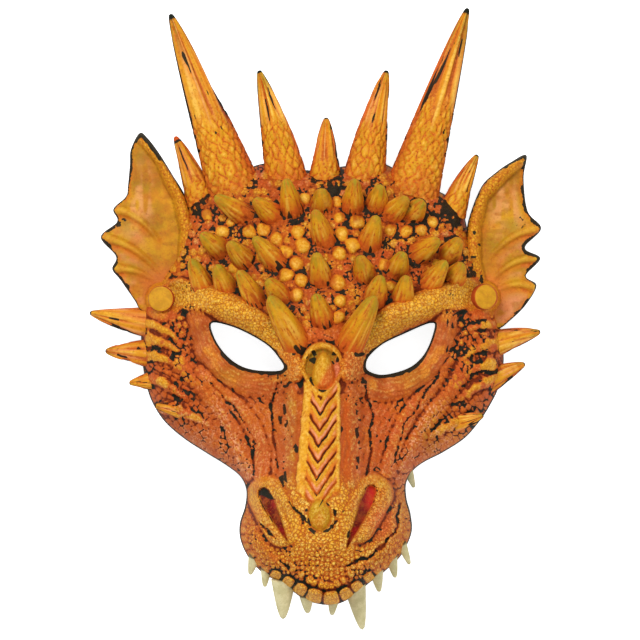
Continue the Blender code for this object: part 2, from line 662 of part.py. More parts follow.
def make_mask(parts, cutters):
    things = [slab("face", HEAD, (LEFT_EYE, RIGHT_EYE), shell_heights, parts)]
    for side, (outline, root, tips, roll) in EARS.items():
        things.append(slab(side + "_ear", outline, (), ear_heights(outline, root, tips, roll), parts))
    for spikes, power in ((HORNS, HORN_TAPER), (FROWNS, FROWN_TAPER)):
        for name, (root, bend, tip, radius) in spikes.items():
            radii = taper(radius, TIP_RADIUS, HORN_RINGS, power)
            things.append(tusk(name, root, bend, tip, radii, HORN_RINGS, HORN_SIDES, parts))
    for number, (root, tip) in enumerate(THORNS, 1):
        things.append(make_thorn(number, root, tip, parts))
    for side, (place, _) in BUTTONS.items():
        things.append(make_post(side, place, parts))
    mask = joined("mask", things, parts)

    fuse = mask.modifiers.new("fuse", "REMESH")
    fuse.mode = "VOXEL"
    fuse.voxel_size = VOXEL * MM
    fuse.adaptivity = 0.0
    thin_out = mask.modifiers.new("thin out", "DECIMATE")
    thin_out.ratio = KEPT_SHARE

    make_floor_cutter(cutters)
    for side in BUTTONS:
        make_button(side + "_pocket", side, GAP, cutters)
    for name in TEETH:
        make_tooth(name + "_socket", name, GAP, cutters)
    for cutter in cutters.objects:
        cutter.hide_render = True
        cutter.display_type = "WIRE"
    pockets = mask.modifiers.new("rim, pockets and sockets", "BOOLEAN")
    pockets.operation = "DIFFERENCE"
    pockets.operand_type = "COLLECTION"
    pockets.collection = cutters
    apply_modifiers(mask)
    return mask


def main():
    clear_scene()
    parts = make_collection("dragon_mask", hidden=False)
    cutters = make_collection("cutters", hidden=True)
    mask = make_mask(parts, cutters)
    mask.data.materials.append(make_material("painted_foam", FOAM_COLOUR, 0.6))
    for side in BUTTONS:
        button = make_button(side + "_button", side, 0, parts)
        button.data.materials.append(make_material(side + "_button_paint", BUTTON_COLOUR, 0.5))
    for name in TEETH:
        tooth = make_tooth(name, name, 0, parts)
        tooth.data.materials.append(make_material(name + "_ivory", IVORY_COLOUR, 0.4))
    settle_on_origin([*parts.objects, *cutters.objects])


main()
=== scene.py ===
"""The dragon mask's looks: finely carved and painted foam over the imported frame.

Places are in the design's millimetres: +X is the viewer's right, the crown points to +Y, y = 0 is the
eye line and z = 0 is the plane of the rim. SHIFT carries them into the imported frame.
"""

import math

import bpy
import numpy as np
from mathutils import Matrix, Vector
from mathutils.geometry import delaunay_2d_cdt


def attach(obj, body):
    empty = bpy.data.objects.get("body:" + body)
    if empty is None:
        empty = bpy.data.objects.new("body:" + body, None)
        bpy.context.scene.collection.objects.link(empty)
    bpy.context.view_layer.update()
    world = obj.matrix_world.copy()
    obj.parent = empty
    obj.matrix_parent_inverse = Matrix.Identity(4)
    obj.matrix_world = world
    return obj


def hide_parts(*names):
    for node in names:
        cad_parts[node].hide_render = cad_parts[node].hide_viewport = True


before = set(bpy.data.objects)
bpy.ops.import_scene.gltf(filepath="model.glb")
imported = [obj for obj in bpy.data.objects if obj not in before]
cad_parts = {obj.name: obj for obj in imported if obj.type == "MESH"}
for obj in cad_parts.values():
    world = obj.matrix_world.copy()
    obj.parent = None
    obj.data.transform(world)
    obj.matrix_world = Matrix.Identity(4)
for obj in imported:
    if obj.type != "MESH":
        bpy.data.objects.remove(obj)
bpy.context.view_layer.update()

MM = 0.001
SHIFT = np.array((2.42, -18.05, 0.0))

# The same driving sizes as the solids have.
WALL = 6.0
EDGE_RADIUS = 11.0
COLUMNS = (0, 12, 25, 45, 65, 95)
ROWS = (
    (106, (20, 20, 19, 16, 12, 8)),
    (92, (29, 29, 28, 25, 20, 14)),
    (65, (46, 45, 44, 39, 31, 20)),
    (40, (58, 57, 55, 49, 39, 25)),
    (20, (65, 63, 59, 52, 42, 26)),
    (5, (68, 61, 49, 43, 37, 25)),
    (-10, (72, 63, 46, 40, 34, 23)),
    (-30, (84, 74, 52, 40, 30, 18)),
    (-50, (96, 87, 64, 44, 28, 14)),
    (-70, (106, 101, 84, 57, 30, 12)),
    (-85, (112, 109, 98, 74, 40, 14)),
    (-100, (114, 112, 103, 82, 50, 20)),
    (-115, (112, 110, 101, 80, 50, 20)),
    (-132, (106, 104, 96, 78, 50, 20)),
)
MIDLINE = ((-132, 3.5), (-115, 2.5), (-85, 0.5), (-40, 0.0), (-10, 1.5), (20, 1.5), (106, 1.0))
RIM = ((-130, 76.0), (-115, 68.0), (-100, 56.0), (-86, 43.0), (-72, 28.0), (-60, 12.0), (-48, 0.0))
HEAD = (
    (2.5, 93), (-6.5, 93.5), (-17.5, 94), (-29, 97), (-42.5, 92), (-55, 86), (-63, 82),
    (-69.5, 76), (-71, 64), (-75, 50), (-83, 38), (-91, 27), (-93, 16), (-93, 5),
    (-92, -9), (-89.5, -21), (-86, -29.5), (-80, -38), (-70, -46.5), (-58, -54), (-48, -60),
    (-41, -65.5), (-38, -72), (-38.5, -80), (-41, -88), (-41, -95), (-38.5, -102), (-34, -108.5),
    (-28.5, -113.5), (-22, -117), (-15.5, -121), (-8, -126), (0, -128.5), (8.5, -128.5),
    (17, -124.5), (25, -118), (32, -113), (40, -106), (44.5, -99), (47, -92), (46.5, -84),
    (44.5, -76), (44.5, -68.5), (48, -62.5), (54, -58), (64, -53), (75, -46), (83, -37),
    (88.5, -28.5), (93, -19), (95.5, -6), (94.5, 6), (93, 16), (91, 27), (86, 38), (81, 50),
    (77, 62), (73.5, 73), (65.5, 80.5), (58, 84), (46, 89.5), (33, 97), (21.5, 95.5), (12, 95.5),
)
LEFT_EYE = (
    (-55.5, 14), (-46, 12.5), (-35.5, 8), (-26, 2), (-20.5, -4.5), (-18.5, -8.5),
    (-22, -10.5), (-34, -10), (-42.5, -7), (-49.5, -1), (-54.5, 7),
)
RIGHT_EYE = (
    (57, 14), (52, 12.5), (43, 8.5), (32.5, 3.5), (25.5, -2.5), (23.5, -7),
    (25, -10.5), (32.5, -12.5), (44.5, -9.5), (51.5, -4.5), (56, 2.5), (59, 12.5),
)
BROWS = {
    "left": ((-72, 29.5), (-66, 27.5), (-53.5, 25), (-41, 19), (-29.5, 10.5), (-21, 1.5), (-15, -9)),
    "right": ((75, 30), (70, 28), (61, 26), (51, 22), (39.5, 17), (30.5, 10.5), (21.5, 1.5), (17, -9)),
}
LIDS = {
    "left": ((-63, 22), (-61, 12), (-58, 1), (-50, -10), (-38.5, -16.5), (-26, -17.5), (-17, -13)),
    "right": ((65, 20), (64, 10), (61, -1), (54, -11), (43.5, -17.5), (32, -19.5), (22.5, -15.5)),
}
FOLDS = (
    (((-62, -12), (-51, -21), (-41, -30), (-33.5, -40.5), (-29.5, -53), (-30, -64)), 5.0, 3.5),
    (((66, -3), (59, -15.5), (47.5, -30.5), (40, -43.5), (34.5, -61)), 5.0, 3.5),
    (((-72, -6), (-61.5, -18), (-52.5, -28), (-45, -40), (-39.5, -52), (-37, -62)), 5.0, 3.0),
    (((75, -8), (68, -20), (58, -32), (50, -44), (43, -58)), 5.0, 3.0),
    (((-14.5, -11), (-15, -30), (-15.5, -50), (-16, -66)), 4.0, 3.5),
    (((16.5, -7), (17, -25), (17.5, -45), (17.5, -66)), 4.0, 3.5),
)
BROW_HALF_WIDTH, BROW_HEIGHT = 9.0, 9.0
LID_HALF_WIDTH, LID_HEIGHT = 7.5, 4.8
BRIDGE_TOP, BRIDGE_END = -19.0, -76.0
CHEVRON_PITCH, CHEVRON_DEPTH, CHEVRON_RISE, CHEVRON_FIRST = 8.0, 3.5, 1.5, -26.0
BRIDGE_AXIS = ((-76, -2.0), (-22, 0.5))
BRIDGE_LEFT = ((-76, 10.8), (-22, 8.8))
BRIDGE_RIGHT = ((-76, 12.0), (-22, 9.5))
RING_PLACE, RING_SIZE, RING_HALF_WIDTH, RING_HEIGHT, RING_LEAN = (1.2, -9.6), (10.3, 12.2), 1.9, 4.5, 0.45
BEAD_PLACE, BEAD_SIZE, BEAD_HEIGHT, BEAD_LEAN = (1.9, -10.2), (5.6, 9.4), 6.5, -0.36
RING_FLOOR = 0.4
KNOB_PLACE, KNOB_SIZE, KNOB_HEIGHT = (-0.2, -82.2), (6.3, 8.2), 5.5
MUZZLE_PLATEAU = 3.4
NOSTRILS = (((-27, -73), (-18, -88)), ((27, -72), (18.5, -86)))
SLITS = (((-28.2, -72.5), (-22.5, -83.0), (-16.5, -95.0)), ((25.8, -71.0), (20.5, -83.0), (13.5, -98.0)))
NOSTRIL_HALF_WIDTH, NOSTRIL_DEPTH, NOSTRIL_RIM, NOSTRIL_RIM_HEIGHT = 4.0, 10.0, 5.0, 4.2
LIP_MIDDLE = (0.8, -128.5)
LIP_ROWS = (
    (0.0, 9.0, 7.0, (9.8, 8.0, 7.0, 6.4, 5.6, 5.2, 5.4, 4.8, 4.6, 4.8, 4.2)),
    (9.0, 4.8, 2.6, (4.9, 4.5, 4.8, 4.2, 4.6, 4.0, 4.4, 4.0, 4.2, 3.8, 4.0, 3.8)),
)
LIP_SPACE = 1.0
SPIKE_FEET = (
    ((-94, 14), (-85, 13), (-77, 9), (-72, 4)), ((-96, -2), (-86, -2.5), (-78, -5), (-72, -9)),
    ((-92, -15), (-84, -15.5), (-77, -19), (-70, -24)), ((-80, -30), (-73, -31), (-65, -34), (-58, -38)),
    ((96, 4), (87, 3), (79, 0), (73, -5)), ((95, -13), (87, -16), (79, -20), (72, -25)),
    ((80, -35), (72, -37), (64, -40), (57, -44)), ((92, 14), (84, 13), (77, 11)),
    ((-88, 6), (-80, 4), (-74, 0)), ((88, -7), (81, -9), (75, -12)),
)
FOOT_HALF_WIDTH, FOOT_NARROWING, FOOT_HEIGHT = 3.9, 1.9, 4.2
HORNS = {
    "left_tall_horn": ((-43, 80, 18), (-58, 122, 20), (-77.5, 174, 9), 14.5),
    "left_middle_horn": ((-17, 86, 19), (-23, 118, 22), (-31.5, 144.5, 14), 11.5),
    "centre_horn": ((2.5, 86, 19), (3, 104, 22), (3.2, 120, 17), 9.0),
    "right_middle_horn": ((22.5, 86, 19), (27, 118, 22), (34.5, 144.5, 14), 11.5),
    "right_tall_horn": ((47, 80, 18), (59, 122, 20), (76.5, 177, 9), 14.5),
    "left_small_horn": ((-61, 76, 14), (-66, 92, 15), (-75, 110.5, 9), 8.5),
    "right_small_horn": ((68, 70, 14), (73, 86, 15), (81.5, 101, 9), 7.8),
    "left_spike_1": ((-86, 14, 13), (-103, 16, 15), (-119, 19.3, 9), 8.8),
    "left_spike_2": ((-84, -2, 12), (-99, -1, 13), (-111, -0.5, 9), 8.5),
    "left_spike_3": ((-82, -15, 13), (-91, -16.5, 14), (-98.5, -17, 11), 6.0),
    "left_spike_4": ((-70, -31.5, 22), (-77, -30, 28), (-85, -28.5, 28), 5.0),
    "right_spike_1": ((86, 2, 12), (101, 7, 13), (114, 9.5, 9), 8.0),
    "right_spike_2": ((84, -17, 12), (95, -12, 14), (106, -7.2, 10), 8.0),
    "right_spike_3": ((70, -37, 22), (77, -35.5, 29), (84, -33.5, 29), 5.5),
}
HORN_TAPER, TIP_RADIUS = 0.7, 0.9
FROWNS = {
    "left_frown": ((-10, 1, 55), (-18, 14, 74), (-26, 28, 73), 8.4),
    "right_frown": ((13, 0, 55), (21, 14, 74), (28, 28, 73), 8.4),
}
FROWN_TAPER = 0.45
THORNS = (
    ((-38.5, 69), (-54, 79)), ((-24, 69), (-34, 77.5)), ((-14, 71), (-17.5, 88)),
    ((1, 74), (0.5, 83)), ((16.5, 73), (18, 88)), ((29, 74), (31, 85)),
    ((36.5, 70), (45, 78.5)), ((47.5, 70), (53, 77)), ((2.5, 56), (-3, 72)),
    ((25, 54), (29, 69)), ((-50.5, 51), (-61, 60)), ((-38, 45.5), (-47, 55.5)),
    ((-22, 44.5), (-34, 58)), ((0.5, 36), (-2, 50)), ((23, 38), (20, 48.5)),
    ((39, 40.5), (42.5, 50.5)), ((50, 49), (61, 57)), ((65.5, 48), (72, 57.5)),
    ((-59, 31), (-66, 47)), ((-47.5, 31), (-53, 44)), ((-32.5, 25), (-41.5, 41)),
    ((-20, 27), (-27, 36.5)), ((28, 26.5), (31, 38.5)), ((42, 25), (44, 38.5)),
    ((55.5, 33), (64.5, 46)), ((68.5, 36.5), (73, 45)), ((1.5, 16), (-2.5, 29)),
)
THORN_RADIUS, THORN_TIP_RADIUS, THORN_RISE, THORN_SINK, THORN_SAG, THORN_TAPER = 6.7, 1.2, 9.5, 3.0, 2.2, 0.62
EARS = {
    "left": (
        (
            (-84, 20), (-72, 30), (-66, 46), (-65, 62), (-69.5, 79), (-76.5, 91), (-83, 101.5), (-89, 109.5),
            (-93.5, 112.5), (-98, 104), (-98.5, 96), (-99.5, 85), (-100.5, 79.5), (-107, 73), (-105, 66.5),
            (-113.5, 58.5), (-105.5, 48.5), (-107.5, 42), (-103, 36), (-96, 26), (-92, 20),
        ),
        (-82, 32),
        (
            ((-106, 72.5), (-93, 72), (-82.5, 55)), ((-113, 58.5), (-96, 56), (-83, 40)),
            ((-107, 42), (-96, 43.5), (-86, 36)),
        ),
        ((-93, 110), (-82, 97), (-72, 80), (-68, 62), (-69, 46), (-75, 33)),
    ),
    "right": (
        (
            (86, 14), (76, 26), (75, 42), (75.5, 56), (77, 68), (83.5, 84.5), (91, 92), (99, 97.5),
            (107, 101), (105.5, 89), (107.5, 72), (114.5, 63), (106, 53), (114, 47.5), (106.5, 38.5),
            (112, 33.5), (106.5, 23.5), (98.5, 15.5), (92, 11),
        ),
        (85, 28),
        (
            ((113, 62.5), (100, 63), (87, 47)), ((113, 47.5), (99, 49), (88, 35)),
            ((110, 33), (99, 37), (89, 29)),
        ),
        ((105, 99), (94, 91), (83, 80), (79, 64), (79, 46), (82, 32)),
    ),
}
EAR_THICKNESS, EAR_ROOT_Z, EAR_TIP_Z = 4.0, 19.0, 10.0
EAR_RIB, EAR_RIB_HEIGHT, EAR_ROLL, EAR_ROLL_HEIGHT = 2.8, 3.0, 5.0, 6.0
BUTTONS = {"left": (-81.5, 26.5), "right": (84.5, 27.5)}
BUTTON_RADIUS, BUTTON_THICKNESS, BUTTON_TOP_Z, BUTTON_SHOWS = 6.7, 6.0, 35.5, 3.0
SEAT_RADIUS, SEAT_SLOPE, SEAT_GAP, POST_RADIUS = 8.0, 1.3, 0.4, 9.5
TEETH = {
    "left_front_tooth": ((-6.6, -126.5), (-6.2, -132.5), 3.9, 88.0),
    "right_front_tooth": ((6.6, -127.5), (6.0, -133.5), 3.3, 88.0),
    "left_fang": ((-18.5, -120.0), (-18.7, -135.6), 6.2, 86.0),
    "right_fang": ((18.3, -123.0), (21.5, -140.9), 5.6, 86.0),
    "left_side_tooth_1": ((-27.5, -113.5), (-28.0, -119.5), 2.9, 82.0),
    "left_side_tooth_2": ((-34.0, -107.5), (-35.5, -113.5), 3.2, 78.0),
    "right_side_tooth_1": ((29.0, -114.5), (30.0, -122.0), 3.6, 82.0),
    "right_side_tooth_2": ((36.8, -108.0), (38.2, -115.0), 3.2, 78.0),
    "right_side_tooth_3": ((42.8, -101.5), (45.5, -108.5), 2.6, 73.0),
    "right_back_tooth": ((46.0, -63.5), (48.5, -71.0), 2.8, 24.0),
}
TOOTH_ROOT, TOOTH_TAPER, TOOTH_TIP, TOOTH_FALL = 4.5, 0.6, 0.5, 2.0

# Finer carving, which the solids leave out.
CELL = 0.62
BACK_CELL = 3.0
CAMERA_LENS, CAMERA_HEIGHT, CAMERA_Y = 324.5, 3.0, 15.6
NODULES = (
    (18.9, 65.6, 4.0), (11.2, 60.0, 4.1), (-19.9, 64.9, 3.8), (-11.7, 61.0, 4.0), (-22.0, 57.0, 3.6),
    (-8.7, 54.0, 4.1), (-17.6, 50.3, 3.7), (-12.3, 44.2, 3.9), (16.8, 53.9, 4.2), (9.7, 49.8, 3.9),
    (31.7, 52.9, 4.0), (-50.5, 61.0, 3.9), (-36.2, 61.0, 3.6), (-29.1, 62.0, 3.5), (-17.1, 38.8, 3.9),
    (-9.7, 36.0, 3.7), (9.2, 34.5, 4.4), (17.4, 33.5, 4.4), (10.2, 25.3, 3.8), (-12.3, 28.4, 3.8),
    (9.2, 17.1, 3.4), (1.3, 11.0, 3.2), (-3.0, 64.0, 3.1), (36.0, 62.0, 3.4), (44.0, 61.0, 3.4),
    (52.0, 62.0, 3.2), (58.0, 66.0, 3.0), (-58.0, 70.0, 3.0), (-46.0, 66.0, 3.0), (33.0, 44.0, 3.2),
    (-30.0, 48.0, 3.0), (-44.0, 42.0, 3.0), (-28.0, 20.0, 2.8), (36.0, 33.0, 3.0), (50.0, 36.0, 3.0),
    (60.0, 44.0, 3.0), (-8.0, 78.0, 3.2), (9.0, 76.0, 3.2), (10.0, 68.0, 3.0), (-27.0, 76.0, 2.8),
)
CREASES = (
    (((40, -78.4), (38, -90.8), (33.2, -95), (26.3, -102.6), (14.6, -107.4)), 1.5, 2.4),
    (((-30.2, -86.7), (-26, -90.5), (-22.6, -93.6)), 1.6, 2.2),
    (((-15.7, -75.7), (-10.2, -81.2), (-7.8, -86)), 1.5, 2.2),
    (((7.5, -80.0), (9.0, -83.5), (7.5, -88)), 1.4, 2.2),
    (((-19, -105.5), (-16, -108.0)), 1.4, 1.8),
    (((14.8, -90), (14.0, -98)), 1.2, 1.8),
    (((-22, -16), (-25, -30), (-22.5, -44), (-21, -60)), 1.5, 2.2),
    (((23, -18), (27, -32), (26, -46), (24, -62)), 1.5, 2.2),
    (((-56, -17), (-46, -27), (-37, -38), (-33, -52)), 1.2, 1.6),
    (((61, -12), (52, -26), (43.5, -39), (38.5, -56)), 1.2, 1.6),
)

# Paint, as linear colour.
GOLD = (0.74, 0.335, 0.016)
PALE_GOLD = (0.92, 0.56, 0.10)
OCHRE = (0.56, 0.27, 0.010)
OLIVE = (0.27, 0.19, 0.010)
GREEN = (0.22, 0.24, 0.020)
ORANGE = (0.66, 0.165, 0.012)
RED_ORANGE = (0.60, 0.085, 0.016)
TERRACOTTA = (0.52, 0.105, 0.022)
PEACH = (0.80, 0.31, 0.12)
PINK = (0.84, 0.36, 0.20)
BROWN = (0.30, 0.10, 0.014)
BLACK = (0.009, 0.016, 0.011)
BROW_GOLD = (0.80, 0.37, 0.016)
LID_RED = (0.34, 0.045, 0.010)
LID_LIGHT = (0.80, 0.30, 0.03)
FLUSH = (0.68, 0.115, 0.028)
SIDE_RED = (0.50, 0.085, 0.010)
BEAD_GOLD = (0.66, 0.31, 0.012)
BEAD_RED = (0.62, 0.11, 0.012)
KNOB_OCHRE = (0.50, 0.26, 0.008)
PLATE_GOLD = (0.84, 0.39, 0.02)
NOSE_DARK = (0.10, 0.002, 0.004)
NOSE_RED = (0.24, 0.004, 0.008)
NOSE_BRIGHT = (0.52, 0.008, 0.010)
EAR_GOLD = (0.58, 0.29, 0.012)
EAR_SHADE = (0.36, 0.185, 0.008)
EAR_RUST = (0.46, 0.135, 0.012)
WEB_PEACH = (0.80, 0.37, 0.12)
WEB_SHADE = (0.42, 0.165, 0.008)
WEB_PINK = (0.78, 0.30, 0.13)
EAR_STREAK = (0.34, 0.14, 0.008)
RIB_GOLD = (0.74, 0.40, 0.030)
EAR_FOOT_RED = (0.62, 0.16, 0.03)
FLAKE_RED = (0.60, 0.125, 0.012)
GROOVE_RED = (0.64, 0.15, 0.03)
THORN_GOLD = (0.62, 0.29, 0.010)
FRINGE_RED = (0.36, 0.045, 0.008)
SCALE_RIM_DRYBRUSH_AND_GLINT = (0.88, 0.42, 0.20)
SCALE_GROOVE = (0.42, 0.07, 0.012)
SCALE_MIDDLE = (0.52, 0.10, 0.015)
RING_SMUDGES = (((-10.5, -0.5), (5.0, 3.6), 0.48), ((18.5, -1.8), (4.5, 1.4), 0.40))
BRIDGE_LINES = ((-17.5, 0.7), (19.5, 0.8))
MOAT_SMUDGES = (48, 130, 222, 270)


def curve_through(knots, values, at):
    """A smooth curve through the values at the knots, read at each place. The last axis holds the knots."""
    knots = np.asarray(knots, float)
    values = np.asarray(values, float)
    slopes = np.gradient(values, knots, axis=-1)
    left = np.clip(np.searchsorted(knots, at) - 1, 0, len(knots) - 2)
    step = knots[left + 1] - knots[left]
    t = np.clip((at - knots[left]) / step, 0, 1)

    def pick(table, index):
        if table.ndim == 1:
            return table[index]
        return np.take_along_axis(table, index[:, None], axis=1)[:, 0]

    start, end = pick(values, left), pick(values, left + 1)
    rise, fall = pick(slopes, left) * step, pick(slopes, left + 1) * step
    return (
        (2 * t**3 - 3 * t**2 + 1) * start
        + (t**3 - 2 * t**2 + t) * rise
        + (3 * t**2 - 2 * t**3) * end
        + (t**3 - t**2) * fall
    )


def closed_curve(points, spacing):
    """Points at about the spacing along a smooth closed curve through the outline's points."""
    points = np.asarray(points, float)
    found = []
    for i in range(len(points)):
        before, start, end, after = (points[(i + k) % len(points)] for k in (-1, 0, 1, 2))
        steps = max(1, round(np.linalg.norm(end - start) / spacing))
        for t in np.arange(steps) / steps:
            bend = (2 * before - 5 * start + 4 * end - after) * t**2
            bend += (3 * start - before - 3 * end + after) * t**3
            found.append(start + 0.5 * ((end - before) * t + bend))
    return np.array(found)


def path_distance(x, y, path):
    """Distance from the nearest point of the path."""
    nearest = np.full(np.shape(x), np.inf)
    for (ax, ay), (bx, by) in zip(path[:-1], path[1:]):
        dx, dy = bx - ax, by - ay
        t = np.clip(((x - ax) * dx + (y - ay) * dy) / (dx * dx + dy * dy), 0, 1)
        nearest = np.minimum(nearest, np.hypot(x - ax - t * dx, y - ay - t * dy))
    return nearest


def path_place(x, y, path):
    """Distance from the path, and the share of the path that lies before the nearest point."""
    nearest, share = np.full(np.shape(x), np.inf), np.zeros(np.shape(x))
    walked, total = 0.0, sum(math.dist(a, b) for a, b in zip(path[:-1], path[1:]))
    for (ax, ay), (bx, by) in zip(path[:-1], path[1:]):
        length = math.hypot(bx - ax, by - ay)
        t = np.clip(((x - ax) * (bx - ax) + (y - ay) * (by - ay)) / length**2, 0, 1)
        away = np.hypot(x - ax - t * (bx - ax), y - ay - t * (by - ay))
        share = np.where(away < nearest, (walked + t * length) / total, share)
        nearest = np.minimum(nearest, away)
        walked += length
    return nearest, share


def nearest_path(x, y, paths):
    """Distance from the nearest of the named paths."""
    return np.min([path_distance(x, y, path) for path in paths.values()], axis=0)


def loop_distance(x, y, loop):
    """Distance from the nearest point of the closed outline."""
    return path_distance(x, y, np.vstack([loop, loop[:1]]))


def inside(x, y, loop):
    """Whether each place is inside the closed outline."""
    within = np.zeros(np.shape(x), bool)
    for (ax, ay), (bx, by) in zip(loop, np.roll(loop, -1, axis=0)):
        if ay == by:
            continue
        spans = (ay > y) != (by > y)
        within ^= spans & (x < ax + (y - ay) * (bx - ax) / (by - ay))
    return within


def dome(distance, reach):
    """1 at no distance and 0 from the reach on, rounded like a dome."""
    return np.clip(1 - (distance / reach) ** 2, 0, 1)


def quarter_round(depth, radius):
    """0 at the edge and 1 from the radius inwards, like a quarter circle."""
    return np.sqrt(1 - np.clip(1 - depth / radius, 0, 1) ** 2)


def smooth(value, low, high):
    """0 below low, 1 above high, with a soft step between. low may be above high."""
    t = np.clip((value - low) / (high - low), 0, 1)
    return t * t * (3 - 2 * t)


def face_height(x, y):
    """Height of the smooth face, read from the rows."""
    middle = np.interp(y, *zip(*MIDLINE))
    rows = sorted(ROWS)
    across = np.array([curve_through(COLUMNS, heights, np.abs(x - middle)) for _, heights in rows]).T
    return curve_through([row[0] for row in rows], across, y)


def rim_height(y):
    """Height of the shell's lower edge, which rises under the muzzle."""
    return np.interp(y, *zip(*RIM))


def oval(x, y, place, size):
    """Distance from the middle in shares of the oval's half axes."""
    return np.hypot((x - place[0]) / size[0], (y - place[1]) / size[1])


def glow(x, y, place, size):
    """1 at the place, fading outwards like a bell of this size."""
    return np.exp(-(((x - place[0]) / size[0]) ** 2) - ((y - place[1]) / size[1]) ** 2)


def egg(x, y, place, size, lean):
    """Like oval, with a narrower top where lean is negative and a narrower foot where it is positive."""
    rise = np.clip((y - place[1]) / size[1], -1.3, 1.3)
    width = size[0] * (1 + lean * np.clip(rise, -1.3, 0)) if lean > 0 else size[0] * (1 + lean * rise)
    return np.hypot((x - place[0]) / width, (y - place[1]) / size[1])


def bent(start, middle, end, count=9):
    """Points along a smooth bend from the start to the end, drawn towards the middle."""
    start, middle, end = (np.asarray(p, float) for p in (start, middle, end))
    t = np.linspace(0, 1, count)[:, None]
    return start * (1 - t) ** 2 + middle * 2 * t * (1 - t) + end * t**2


def slit_share(x, y, slit):
    """Distance from a nostril's slit in shares of its half width, which narrows to a point at its foot."""
    least = np.full(np.shape(x), 9.0)
    walked, total = 0.0, sum(math.dist(a, b) for a, b in zip(slit[:-1], slit[1:]))
    for (ax, ay), (bx, by) in zip(slit[:-1], slit[1:]):
        length = math.hypot(bx - ax, by - ay)
        t = np.clip(((x - ax) * (bx - ax) + (y - ay) * (by - ay)) / length**2, 0, 1)
        along = (walked + t * length) / total
        narrowing = np.clip(1.0 - along, 0.0, 1.0) ** 0.75 * (1 - 0.25 * smooth(along, 0.2, 0.0))
        half = NOSTRIL_HALF_WIDTH * narrowing + 0.25
        least = np.minimum(least, np.hypot(x - ax - t * (bx - ax), y - ay - t * (by - ay)) / half)
        walked += length
    return least


def lozenges(u, v, seed, warp=0.30):
    """Lozenge scales in staggered rows: 0 in the grooves to 1 in the middle, and a value for each scale."""
    u = u + warp * (mottle(u * 1.3, v * 1.3, 1.0, seed) - 0.5) * 2
    v = v + warp * (mottle(u * 1.3 + 31, v * 1.3 + 17, 1.0, seed + 1) - 0.5) * 2
    a, b = u + v, u - v
    edge = 2 * np.minimum(0.5 - np.abs(a - np.floor(a) - 0.5), 0.5 - np.abs(b - np.floor(b) - 0.5))
    table = np.random.default_rng(seed).random((64, 64))
    return edge, table[np.floor(a).astype(int) % 64, np.floor(b).astype(int) % 64]


def cells(u, v, seed, jitter=0.75, wrap=None):
    """Cells round jittered middles: distance to the nearest, gap to the next, and a value for each cell."""
    size = 64
    table = np.random.default_rng(seed).random((size, size, 3))
    iu, iv = np.floor(u).astype(int), np.floor(v).astype(int)
    first = np.full(np.shape(u), 9.0)
    second = np.full(np.shape(u), 9.0)
    shade = np.zeros(np.shape(u))
    for du in (-1, 0, 1):
        for dv in (-1, 0, 1):
            cu, cv = iu + du, iv + dv
            key = cu % wrap if wrap else cu
            spot = table[key % size, cv % size]
            off_u = cu + 0.5 + jitter * (spot[..., 0] - 0.5) - u
            off_v = cv + 0.5 + jitter * (spot[..., 1] - 0.5) - v
            away = np.hypot(off_u, off_v)
            nearer = away < first
            second = np.where(nearer, first, np.minimum(second, away))
            shade = np.where(nearer, spot[..., 2], shade)
            first = np.where(nearer, away, first)
    return first, second - first, shade


def spots(u, v, seed, share):
    """Round spots of uneven size on this share of the cells, from 0 to 1."""
    away, _, value = cells(u, v, seed, jitter=0.9)
    size = 0.16 + 0.22 * (value / share)
    return smooth(away, size + 0.10, size - 0.06) * (value < share)


def mottle(x, y, size, seed):
    """Soft random values from 0 to 1 with patches of about the size."""
    grid = np.random.default_rng(seed).random((64, 64))
    u, v = np.asarray(x) / size, np.asarray(y) / size
    iu, iv = np.floor(u).astype(int), np.floor(v).astype(int)
    fu, fv = smooth(u - iu, 0, 1), smooth(v - iv, 0, 1)
    a, b = grid[iu % 64, iv % 64], grid[(iu + 1) % 64, iv % 64]
    c, d = grid[iu % 64, (iv + 1) % 64], grid[(iu + 1) % 64, (iv + 1) % 64]
    return (a * (1 - fu) + b * fu) * (1 - fv) + (c * (1 - fu) + d * fu) * fv


def pebbles(x, y, size, seed, sharp=0.35, turn=0.0, stretch=1.0):
    """Close-set rounded scales from 0 in their grooves to 1 on top, and a value for each scale."""
    c, s = math.cos(turn), math.sin(turn)
    u, v = (x * c + y * s) / size, (y * c - x * s) / (size * stretch)
    near, gap, shade = cells(u, v, seed)
    rise = np.clip(gap / sharp, 0, 1)
    return rise * (2 - rise) * (1 - 0.25 * near), shade


def blurred(field, sigma):
    """The raster blurred by a bell of this many cells."""
    reach = max(1, int(3 * sigma))
    taps = np.exp(-0.5 * (np.arange(-reach, reach + 1) / sigma) ** 2)
    taps /= taps.sum()
    for axis in (0, 1):
        padded = np.pad(field, [(reach, reach) if a == axis else (0, 0) for a in (0, 1)], mode="edge")
        out = np.zeros_like(field)
        for k, tap in enumerate(taps):
            part = [slice(None), slice(None)]
            part[axis] = slice(k, k + field.shape[axis])
            out += tap * padded[tuple(part)]
        field = out
    return field


def lip_plates():
    """Middle, directions, length, depth and height of each plate, walking both ways round the lip."""
    edge = closed_curve(HEAD, 1.0)
    start = int(np.argmin(np.hypot(*(edge - LIP_MIDDLE).T)))
    plates = []
    for inset, depth, height, lengths in LIP_ROWS:
        for way in (1, -1):
            walked = 0.0
            for length in lengths:
                place = start + way * round(walked + length / 2)
                here, ahead = edge[place % len(edge)], edge[(place + 2) % len(edge)]
                along = (ahead - here) / np.linalg.norm(ahead - here)
                outward = np.array([along[1], -along[0]])
                deep = min(depth, 0.98 * length)
                fade = 1 - 0.6 * min(1.0, max(0.0, walked - 22) / 10)
                rise = height * min(1.0, (length / lengths[0]) ** 0.8) * fade
                plates.append((here - outward * (inset + deep / 2), along, outward, length, deep, rise))
                walked += length * (1 if inset == 0 else 1.12)
    return plates


